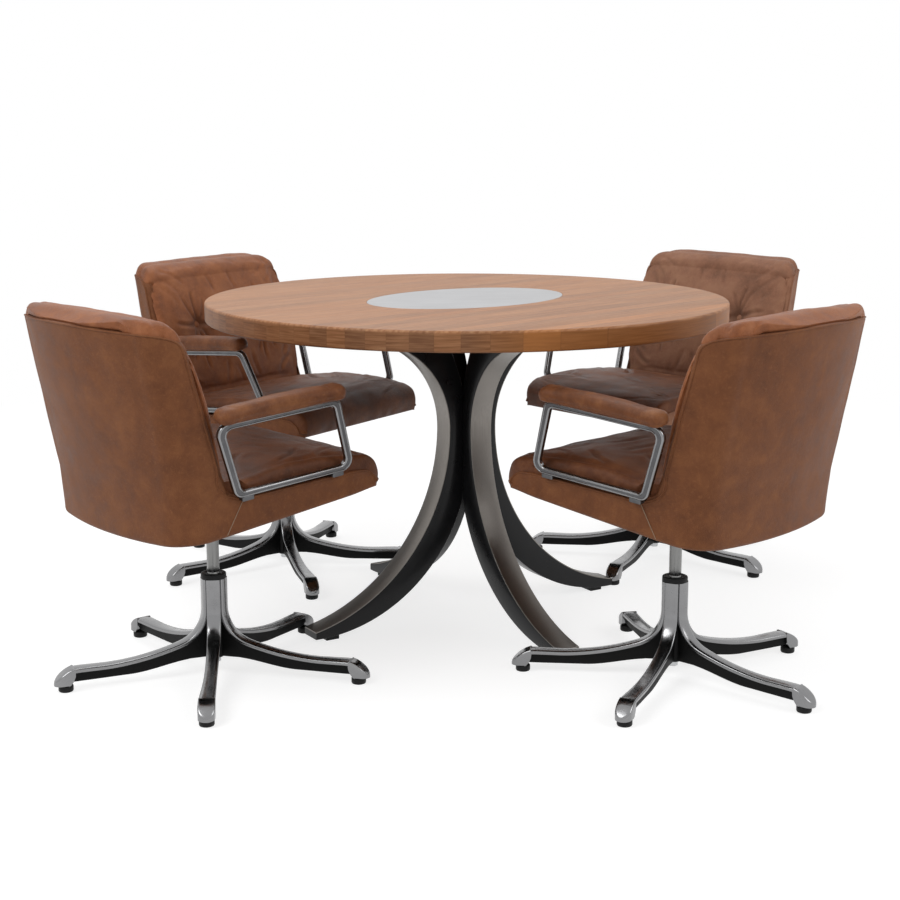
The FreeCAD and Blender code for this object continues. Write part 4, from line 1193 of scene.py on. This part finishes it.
# closed loops of the cushion in upright planes from side to side: waterfall front, crowned top, and an
# underside that rests on the floor between the shell's sides and laps over them outside
def seatRings():
    s = seatSize
    upper = evenly(along(s["line"] + [(s["rear"], s["rearHigh"])], 24), s["upper"])
    narrow = evenly([(s["rear"], floorAt(s["rear"]) + s["under"]), (206, floorAt(206) + s["under"]),
                     (250, 430), (253.5, 424)], s["lower"])
    wide = along([(s["rearWide"], 441.5), (187, 455.5), (206.5, 454.5, -46), (253.5, 424)])
    wide = evenly(wide, s["lower"])
    inner = np.linspace(-s["insert"] + 1, s["insert"] - 1, s["stations"])
    turns = np.linspace(0, 1.47, 8)[1:]
    outer = [(s["insert"], 1.0), (s["insert"] + 2, 1.0), (s["flat"], 1.0)]
    outer += [(s["flat"] + s["edge"] * math.sin(a), math.cos(a) ** 0.75) for a in turns]
    stations = [(-x, f) for x, f in outer[::-1]] + [(x, 1.0) for x in inner] + outer
    rings = []
    for x, share in stations:
        part = float(ease(abs(x), s["insert"], s["flat"]))
        top = upper.copy()
        top[:, 0] = np.maximum(top[:, 0], s["rear"] + (s["rearWide"] - s["rear"]) * part)
        loop = np.concatenate([top, narrow * (1 - part) + wide * part])
        if share < 1:
            loop = drawnIn(loop, s["spine"], share)
        side = (abs(x) / (s["flat"] + s["edge"])) ** 5
        turn = s["planRound"]
        over = min(max(abs(x) - s["insert"], 0), turn - 0.2)
        loop[:, 0] -= (turn - math.sqrt(turn ** 2 - over ** 2)) * ease(loop[:, 0], 150, 250)
        loop[:s["upper"], 1] -= s["sideDrop"] * side * ease(loop[:s["upper"], 1], 455, 480)
        rings.append(np.column_stack([np.full(len(loop), x), loop]))
    return np.array(rings)


# folds of one seat as lines over its top (x, y): long slack ones from the rear corners, short ones in front
def seatLines(seed, flip):
    wave = np.sin(seed * np.array([1.7, 2.9, 4.1, 5.3, 6.1, 7.7]))
    lines = [
        (-205, -70, -60 + 18 * wave[0], 70, 14, 3.4, 7), (-214, -20, -110, 92 + 12 * wave[1], -12, 2.8, 6),
        (-120 + 10 * wave[2], -92, 20, -20, 10, 2.6, 6), (206, -74, 96, 24 + 15 * wave[3], -14, 3.0, 7),
        (216, 6, 140, 118, 10, 2.4, 6), (40, -96, 128, -46 + 9 * wave[4], -8, 2.2, 5),
        (-222, 96, -168, 176, 9, 2.0, 5), (222, 110, 170, 186 + 8 * wave[5], -9, 2.0, 5),
        (-60, 120 + 14 * wave[1], 70, 134, 8, 1.6, 8), (-20, 30, 110, 60 + 9 * wave[0], -9, 1.5, 9),
        (-170, 150, -60, 182, -7, 1.3, 7), (60, 176, 168, 158, 6, 1.3, 7),
    ]
    return [(flip * a, b, flip * c, d, flip * e, f, g) for a, b, c, d, e, f, g in lines]


# seat of one chair: the swollen form with its folds, the gathers at its front corners and the wavy nose
def buildSeat(side, base):
    seed = chairs[side]["seed"]
    flip = 1 if seed % 2 else -1
    normal = gridNormals(base)
    x, y, z = base[..., 0], base[..., 1], base[..., 2]
    top = ease(normal[..., 2], 0.25, 0.75) * ease(y, -118, -90)
    front = ease(y, 205, 240) * ease(z, 408, 420)
    deep = top * creaseDepth(x, y, seatLines(seed, flip))
    deep += top * (1.3 * noise(x / 52, y / 44, seed) + 0.5 * noise(x / 19, y / 23, seed + 3))
    gathers = []
    for sign in (1, -1):
        for k, at in enumerate((-34, -20, -6, 8, 22, 36)):
            bend = 4 * math.sin(seed * 3 + k * 2.2)
            gathers.append((sign * 238, 216 + at * 0.25, sign * (196 - 3 * abs(at) + bend), 214 + at * 1.5,
                            2, 1.9, 2.6))
    length = y + (485 - z)
    deep += ease(y, 150, 190) * ease(z, 425, 445) * creaseDepth(x, length, gathers)
    wave = 0.9 * np.sin(x / 9.5 + 1.7 * np.sin(x / 31 + seed) + seed)
    deep += front * (wave * bell(z - 418, 14) + 1.1 * noise(x / 40, z / 26, seed + 8))
    pad = solid(base - normal * deep[..., None])
    chairPiece(side, "seat", "seat_pad", [pad], paint["seat"], "seat_cushion", 60, deep)


backSize = {
    "edge": 18, "stations": 104, "front": 150, "rear": 56, "cap": 6, "pressure": 4.0, "shrink": 2.0,
    "buttonX": 122, "buttonZ": 645, "buttonRadius": 11,
    "line": [(-121, 466), (-150, 560, 600), (-215, 760, 40), (-262, 797, 60), (-310, 795), (-333, 784.5)],
    "behind": (-332, 780.8), "below": [(-170, 462), (-130, 462)],
    "spine": [(-150, 484), (-172, 560), (-236, 740), (-262, 772), (-296, 780)],
    "clear": 15.2, "lap": 8.5, "lapGrows": 5, "widest": 256,  # clear of the shell's face, lap over the wings
    "wing": (-146, 493, 0.298),  # front edge of a wing: its lowest point (y, z), and its lean
    "endRound": 38, "endDrop": 4,
}


# closed loops of the cushion in upright planes: lumbar front, roll over the shell's top, and a back that
# follows the shell; each point keeps its share of the way to the wing beside it
def backRings():
    s = backSize
    front = evenly(along(s["line"], 24), s["front"])
    high = np.linspace(772, 470, 30)
    behind = np.stack([rearAt(0 * high, high, 15.5), high], 1)
    rear = evenly(np.concatenate([[s["behind"]], behind, s["below"]]), s["rear"])
    loop = np.concatenate([front, rear])
    turns = np.linspace(0, 1.45, 8)[1:]
    outer = [(1.0, s["edge"] * math.sin(a), math.cos(a) ** 0.7) for a in turns]
    stations = [(-u, -more, f) for u, more, f in outer[::-1]]
    stations += [(u, 0, 1.0) for u in np.linspace(-1, 1, s["stations"])] + outer
    rings = []
    for u, more, share in stations:
        shape = loop if share == 1 else drawnIn(loop, s["spine"], share)
        y, z = shape[:, 0].copy(), shape[:, 1].copy()
        wingY, wingZ, lean = s["wing"]
        wingEdge = wingY - np.clip(z - wingZ, 0, 250) * lean
        lap = s["lap"] + s["lapGrows"] * ease(z, 600, 760)
        lap = lap * ease(y - wingEdge, 3, 9) * ease(z, 480, 510)
        free = s["clear"] - np.maximum(lap, 13.5 * ease(z, 752, 774))
        half = np.minimum(halfAt(y, np.minimum(z, 780), free), s["widest"]) - s["edge"]
        x = u * half + more
        y = np.maximum(y, rearAt(x, z, s["clear"] - 11 * ease(z, 773, 779)))
        over = np.clip(np.abs(x) - (half + s["edge"] - 36), 0, 35)
        drop = s["endRound"] - np.sqrt(s["endRound"] ** 2 - over ** 2)
        drop = drop + s["endDrop"] * (np.abs(x) / 240) ** 2.5
        z = z - drop * ease(z, 700, 790)
        rings.append(np.stack([x, y, z], 1))
    return np.array(rings)


# pleats of one back over its front (x, way up the front): crease between the buttons, pleats above and
# below each, gathers at the corners of the roll
def backLines(seed, middle, top):
    wave = np.sin(seed * np.array([1.3, 2.3, 3.7, 4.9, 5.9, 7.1, 8.3]))
    at = backSize["buttonX"]
    lines = [(-at - 4, middle, at + 4, middle, 7 + 3 * wave[0], 4.6, 5.5)]
    for sign in (1, -1):
        k = 0 if sign > 0 else 2
        pleats = [
            (at, middle + 2, at + 6 + 8 * wave[k], middle + 92, 4, 3.4, 4.2),
            (at - 3, middle + 2, at - 34, middle + 70, -5, 2.4, 4),
            (at + 3, middle + 2, at + 42, middle + 78 + 8 * wave[k + 1], 5, 2.6, 4),
            (at, middle - 2, at - 4 + 7 * wave[k + 2], middle - 128, -5, 3.6, 4.6),
            (at - 3, middle - 2, at - 40, middle - 104, 6, 2.6, 4.4),
            (at + 3, middle - 2, at + 40, middle - 96 - 9 * wave[k + 3], -6, 2.8, 4.4),
            (at + 5, middle, at + 88, middle + 16 + 9 * wave[k], 4, 2.6, 5),
            (222, top - 12, 160, top - 66, 5, 1.0, 5), (226, top - 34, 176, top - 98, 6, 1.0, 5),
            (205, top + 8, 132, top - 34 + 7 * wave[k + 2], 4, 1.3, 5),
            (216, 70, 150, 26, -7, 2.4, 6), (224, 118, 176, 60, -7, 2.2, 6),
        ]
        lines += [(sign * a, b, sign * c, d, bow, deep, wide) for a, b, c, d, bow, deep, wide in pleats]
    lines += [(-70, 20, -52, 96 + 12 * wave[5], 4, 1.9, 6), (64, 14, 40, 88, -4, 1.9, 6),
              (-6, 10, 8, 74 + 12 * wave[6], 3, 1.7, 6), (-52, top - 70, -40, top - 14, 3, 1.6, 5),
              (34, top - 78, 46, top - 16, -3, 1.6, 5)]
    return lines


# covered buttons: low domes set on the front where the leather is pulled in
def buttonAt(centre, normal):
    s = backSize
    r = s["buttonRadius"]
    profile = [(0.2, -6), (r * 0.8, -6), (r, -3.4), (r, -1.6), (r * 0.93, 0.2), (r * 0.74, 1.7),
               (r * 0.45, 2.8), (0.2, 3.3)]
    side = unit(np.cross([1.0, 0, 0], normal))
    axes = np.array([np.cross(side, normal), side, normal])
    return moved(lathe(profile, 28), lambda p: centre + p @ axes)


# back of one chair: the swollen form with its pleats, the pits of its buttons and puckers below the roll
def buildBack(side, base):
    s = backSize
    seed = chairs[side]["seed"]
    normal = gridNormals(base)
    x = base[..., 0]
    middleRing = base[len(base) // 2, :s["front"]]
    way = np.concatenate([[0], np.cumsum(np.linalg.norm(np.diff(middleRing, axis=0), axis=1))])
    rise = int(np.argmin(np.abs(middleRing[:, 2] - s["buttonZ"])))
    middle, top = way[rise], way[int(np.argmin(np.abs(middleRing[:, 2] - 780)))]
    way = np.concatenate([way, np.full(base.shape[1] - s["front"], way[-1] + 60)])[None, :] + 0 * x
    onFront = np.zeros(base.shape[1])
    onFront[:s["front"]] = ease(np.arange(s["front"]), 0, 8) * (1 - ease(np.arange(s["front"]), 132, 149))
    onFront = onFront[None, :] * (1 - ease(np.abs(x), 232, 252))
    deep = creaseDepth(x, way, backLines(seed, middle, top))
    for sign in (1, -1):
        r = np.hypot(x - sign * s["buttonX"], way - middle)
        deep += 9.5 * bell(r, 13) + 4.5 * bell(r, 36)
    deep -= 3.5 * bell(x, 90) * (bell(way - middle - 58, 38) + bell(way - middle + 70, 50))
    deep += 1.2 * noise(x / 46, way / 40, seed + 2) + 0.45 * noise(x / 17, way / 21, seed + 6)
    puckers = 0.7 * np.sin(np.abs(x) / 5.2 + 1.4 * np.sin(x / 17 + seed)) * ease(np.abs(x), 168, 205)
    deep += puckers * bell(way - top - 10, 24)
    deep = deep * onFront
    rings = base - normal * deep[..., None]
    shapes = [solid(rings)]
    for sign in (1, -1):
        column = int(np.argmin(np.abs(base[:, rise, 0] - sign * s["buttonX"])))
        shapes.append(buttonAt(rings[column, rise] + normal[column, rise] * 1.5, normal[column, rise]))
    sizes = [len(shape[0]) for shape in shapes]
    marks = np.concatenate([deep.reshape(-1), np.zeros(sum(sizes) - deep.size)])
    hide = hideOf(side, "back")
    chairPiece(side, "seat", "back_pad", shapes, hide, "back_cushion", 60, marks)


armSize = {
    "at": (259, 29.5, 459.5), "lean": 9.8, "pitch": 4.1,
    "thick": 6.0, "edge": 3.4, "rim": 4.3, "channel": 1.3,
    "outer": [(-145, -6.5), (145, -6.5), (100, 153.5), (-196, 153.5)], "outerRound": 22,
    "inner": [(-131, 6.5), (125, 6.5), (86, 140.5), (-174, 140.5)], "innerRound": 13,
    "padRear": -192, "padFront": 111, "padHalf": 22.8, "padLow": 153.6, "padEnd": 22,
    "padHigh": 30, "padSwell": 4.5, "padMiddle": -40, "padReach": 150,
    "lugs": (-116, 104), "lugHalf": 14, "lugLow": -19.5, "lugHigh": 4.6, "lugIn": -16.0, "lugOut": -6.3,
    "cap": 3, "pressure": 4.0,
}


# points drawn upright on the line of the right arm, leaned out, pitched and set in their place
def onArm(points, mirror=1):
    s = armSize
    lean, pitch = math.radians(s["lean"]), math.radians(s["pitch"])
    x, y, z = points[..., 0], points[..., 1], points[..., 2]
    y, z = y * math.cos(pitch) - z * math.sin(pitch), y * math.sin(pitch) + z * math.cos(pitch)
    x, z = x * math.cos(lean) + z * math.sin(lean), -x * math.sin(lean) + z * math.cos(lean)
    return (np.stack([x, y, z], -1) + s["at"]) * [mirror, 1, 1]


# a shape set on the right or left arm; its faces turn round where it is mirrored
def armShape(shape, mirror):
    points, quads, fans = shape
    if mirror < 0:
        quads, fans = quads[:, ::-1], fans[:, ::-1]
    return onArm(points, mirror), quads, fans


# polygon with round corners: the same number of points for any radius, so that two of them can be paired
def roundPolygon(corners, radius, bends=10, sides=16):
    corners = np.array(corners, float)
    points = []
    for i, corner in enumerate(corners):
        before, after = unit(corners[i - 1] - corner), unit(corners[(i + 1) % len(corners)] - corner)
        half = math.acos(float(np.dot(before, after))) / 2
        reach = radius / math.tan(half)
        centre = corner + unit(before + after) * radius / math.sin(half)
        start, end = corner + before * reach - centre, corner + after * reach - centre
        a = math.atan2(start[1], start[0])
        turn = (math.atan2(end[1], end[0]) - a + np.pi) % (2 * np.pi) - np.pi
        angles = a + turn * np.linspace(0, 1, bends)
        points.append(centre + radius * np.stack([np.cos(angles), np.sin(angles)], 1))
    out = []
    for i, bend in enumerate(points):
        following = points[(i + 1) % len(points)][0]
        share = np.linspace(0, 1, sides + 1)[1:-1, None]
        out += [bend, bend[-1] * (1 - share) + following * share]
    return np.concatenate(out)


# cast loop: its section runs between an outer and an inner line, with round edges and a shallow channel
# on both flat faces; a dark strip lies in each channel as painted shade of the groove
def armLoop():
    s = armSize
    outer, inner = roundPolygon(s["outer"], s["outerRound"]), roundPolygon(s["inner"], s["innerRound"])
    depth = unit(inner - outer)
    e, t = s["edge"], s["thick"]
    steps = np.linspace(0, np.pi / 2, 5)
    half = [(0, e * (1 - math.sin(a)), t - e * (1 - math.cos(a))) for a in steps[::-1]]
    rim, low = s["rim"], t - s["channel"]
    half += [(0, rim - 0.5, t), (0, rim + 0.5, low), (1, rim + 0.5, low), (1, rim - 0.5, t)]
    half += [(1, e * (1 - math.sin(a)), t - e * (1 - math.cos(a))) for a in steps]
    section = half + [(k, d, -x) for k, d, x in half[::-1]]

    def loopOf(points):
        lines = [outer + depth * d if k == 0 else inner - depth * d for k, d, _ in points]
        rings = [np.column_stack([np.full(len(line), x), line]) for line, (_, _, x) in zip(lines, points)]
        return solid(np.swapaxes(np.array(rings), 0, 1), looped=True)
    # the dark strips are painted shade of the groove in each channel
    strip = ((0, -0.3), (1, -0.3), (1, 0.25), (0, 0.25))
    strips = [loopOf([(k, rim + 0.7, sign * (low + lift)) for k, lift in strip]) for sign in (1, -1)]
    return loopOf(section), strips


# armrest: rings along the arm, flat below and rounded above, swelling in the middle and round at both ends
def padRings():
    s = armSize
    turns = np.linspace(0.12, np.pi / 2, 9)
    ends = s["padEnd"]
    fore = [(s["padFront"] - ends * (1 - math.sin(a)), math.sin(a)) for a in turns]
    flat = [(y, 0.0) for y in np.linspace(s["padRear"] + ends, s["padFront"] - ends, 52)[1:-1]]
    stations = [(s["padRear"] + ends * (1 - math.sin(a)), math.sin(a)) for a in turns[::-1]] + flat + fore
    angles = np.linspace(0, 2 * np.pi, 44, endpoint=False)
    rings = []
    for y, c in stations:
        share = max(1 - c ** 2.4, 0.02) ** 0.55
        high = s["padHigh"] + s["padSwell"] * (1 - ((y - s["padMiddle"]) / s["padReach"]) ** 2)
        across, up = np.cos(angles), np.sin(angles)
        x = s["padHalf"] * share * np.sign(across) * np.abs(across) ** 0.72
        z = np.where(up > 0, 0.60 * high * np.abs(up) ** 0.80, -0.40 * high * np.abs(up) ** 0.62)
        rings.append(np.column_stack([x, np.full(len(x), y), s["padLow"] + 0.40 * high + z * share]))
    return np.array(rings)


# armrest with shallow creases across it and a sewn line along its lower edge
def padShape(base, seed):
    normal = gridNormals(base)
    x, y, z = base[..., 0], base[..., 1], base[..., 2]
    lines = [(-30, -176, 24, -150, 4, 1.5, 3.5), (-26, -150, 10, -128, 3, 1.2, 3),
             (-24, 78, 22, 96, 3, 1.3, 3.5), (-14, 60, 26, 74, 3, 1.0, 3),
             (-22, -30 + 14 * math.sin(seed), 12, -18, 3, 0.9, 4)]
    fade = ease(normal[..., 2], -0.2, 0.3)
    deep = fade * creaseDepth(x + 0.6 * (z - 170), y, lines)
    deep += fade * 0.7 * noise(x / 13, y / 30, seed)
    seam = 1.4 * bell(z - (armSize["padLow"] + 9.5), 1.5) * (np.abs(normal[..., 2]) < 0.8)
    return solid(base - normal * (deep + seam)[..., None])


# both arms of one chair: cast loops with dark strips in their channels as painted shade, armrests, and lugs
# to the shell
def buildArms(side, pad):
    s = armSize
    seed = chairs[side]["seed"]
    bar, strips = armLoop()
    loops, finishes, pads, lugs = [], [], [], []
    for mirror in (1, -1):
        loops.append(armShape(bar, mirror))
        finishes.append(paint["polished"])
        # the dark strips in the channels are painted shade of the groove
        for strip in strips:
            loops.append(armShape(strip, mirror))
            finishes.append(paint["channel"])
        pads.append(armShape(padShape(pad, seed + mirror), mirror))
        for y in s["lugs"]:
            near, far = y - s["lugHalf"], y + s["lugHalf"]
            ring = roundPolygon([(s["lugLow"], near), (s["lugHigh"], near), (s["lugHigh"], far),
                                 (s["lugLow"], far)], 3, 6, 4)
            lugs.append(armShape(slab(ring, s["lugIn"], s["lugOut"], 1.6), mirror))
    chairPiece(side, "seat", "arm_loops", loops, finishes, "arm_frames", 32)
    chairPiece(side, "seat", "armrests", pads, paint["arm"], "arm_pads", 60)
    chairPiece(side, "seat", "lugs", lugs, paint["channel"], "arm_lugs", 40)


# the forms of seat, back and armrest, each drawn in a little and then swollen where it is free: the seat
# on its top, the back on its front, the armrest along its middle
def swellForms(seat, back, pad):
    normal = gridNormals(seat)
    free = ease(normal[..., 2], 0.3, 0.85) * (1 - ease(np.abs(seat[..., 0]), 205, 228))
    free *= (1 - ease(seat[..., 1], 190, 225)) * ease(seat[..., 1], -115, -95)
    seat = swollen(seat - normal * (seatSize["shrink"] * free)[..., None], free, seatSize["cap"],
                   seatSize["pressure"])
    print("seat swollen")
    normal, step = gridNormals(back), np.arange(back.shape[1])[None, :]
    free = ease(step, 2, 14) * (1 - ease(step, 96, 122)) * (1 - ease(np.abs(back[..., 0]), 195, 226))
    back = swollen(back - normal * (backSize["shrink"] * free)[..., None], free, backSize["cap"],
                   backSize["pressure"])
    print("back swollen")
    normal = gridNormals(pad)
    free = 1 - ease(np.abs(pad[..., 1] - 0.5 * (armSize["padRear"] + armSize["padFront"])), 105, 128)
    pad = swollen(pad - normal * free[..., None], free, armSize["cap"], armSize["pressure"], 4.0)
    print("pad swollen")
    return seat, back, pad


forms = seatRings(), backRings(), padRings()
forms = swellForms(*forms)
seatForm, backForm, padForm = forms
for side in chairs:
    buildShell(side)
    buildSeat(side, seatForm)
    buildBack(side, backForm)
    buildArms(side, padForm)
print("seats ready")


view = {"lens": 65.13, "x": -0.0265, "y": -3.7856, "z": 1.1641, "tilt": 78.44}
lamps = {
    "key": {"at": (-2.6, -2.4, 3.6), "size": 2.6, "power": 77},
    "fill": {"at": (3.2, -2.0, 2.6), "size": 2.4, "power": 42},
    "back": {"at": (-0.7, 2.0, 4.4), "size": 3.0, "power": 46},
}
room = {"light": 0.47, "bounce": 0.80, "shaded": 0.42, "glow": 0.76, "half": 14.0, "near": 1.5, "far": 3.4}


def buildCamera():
    camera = bpy.data.objects.new("camera", bpy.data.cameras.new("camera"))
    camera.data.lens = view["lens"]
    camera.data.sensor_width = 36
    camera.location = (view["x"], view["y"], view["z"])
    camera.rotation_euler = (math.radians(view["tilt"]), 0, 0)
    scene.collection.objects.link(camera)
    scene.camera = camera
    scene.view_settings.view_transform = "Standard"


def buildLamps():
    for name, lamp in lamps.items():
        data = bpy.data.lights.new(name, "AREA")
        data.shape, data.size, data.energy = "DISK", lamp["size"], lamp["power"]
        thing = bpy.data.objects.new(name, data)
        thing.location = lamp["at"]
        aim = -np.array(lamp["at"]) + [0, 0, 0.5]
        yaw = math.atan2(aim[1], aim[0])
        thing.rotation_euler = (math.atan2(math.hypot(aim[0], aim[1]), -aim[2]), 0, yaw - math.pi / 2)
        scene.collection.objects.link(thing)


# white behind the set for the camera and in mirrors, and soft grey light from all sides
def buildWorld():
    world = bpy.data.worlds.new("studio")
    scene.world = world
    world.use_nodes = True
    world.node_tree.nodes.clear()
    n = Nodes(world)
    rays = n.add("LightPath")
    through = n.math("MAXIMUM", rays.outputs["Is Glossy Ray"], rays.outputs["Is Transmission Ray"])
    soft = n.add("Background", Color=(1, 1, 1, 1), Strength=room["light"])
    white = n.add("Background", Color=(1, 1, 1, 1), Strength=1.0)
    mix = n.add("MixShader")
    n.join(n.math("MAXIMUM", rays.outputs["Is Camera Ray"], through), mix, 0)
    n.join(soft.outputs[0], mix, 1)
    n.join(white.outputs[0], mix, 2)
    n.join(mix.outputs[0], n.add("OutputWorld"), 0)


# floor that takes soft shadows near the set and fades to white away from it; other light sees plain paint
def buildFloor():
    h = room["half"]
    mesh = bpy.data.meshes.new("floor")
    mesh.from_pydata([(-h, -h, 0), (h, -h, 0), (h, h, 0), (-h, h, 0)], [], [(0, 1, 2, 3)])
    floor = bpy.data.objects.new("floor", mesh)
    scene.collection.objects.link(floor)
    material, shader = newMaterial("floor_pale")
    shader.inputs["Base Color"].default_value = (room["bounce"],) * 3 + (1,)
    shader.inputs["Roughness"].default_value = 0.8
    n = Nodes(material)
    away = n.add("VectorMath", operation="LENGTH")
    n.join(n.position("room"), away, 0)
    fade = n.spread(away.outputs["Value"], room["near"], room["far"])
    shaded = n.add("BsdfDiffuse")
    shaded.inputs["Color"].default_value = (room["shaded"],) * 3 + (1,)
    glow, white = n.add("Emission", Strength=room["glow"]), n.add("Emission", Strength=1.0)
    seen, faded, pick = n.add("AddShader"), n.add("MixShader"), n.add("MixShader")
    n.join(shaded.outputs[0], seen, 0)
    n.join(glow.outputs[0], seen, 1)
    n.join(fade, faded, 0)
    n.join(seen.outputs[0], faded, 1)
    n.join(white.outputs[0], faded, 2)
    rays = n.add("LightPath")
    n.join(n.math("MAXIMUM", rays.outputs["Is Camera Ray"], rays.outputs["Is Glossy Ray"]), pick, 0)
    n.join(shader.outputs[0], pick, 1)
    n.join(faded.outputs[0], pick, 2)
    output = next(node for node in material.node_tree.nodes if node.type == "OUTPUT_MATERIAL")
    n.join(pick.outputs[0], output, "Surface")
    mesh.materials.append(material)


buildCamera()
buildLamps()
buildWorld()
buildFloor()
print("studio ready")
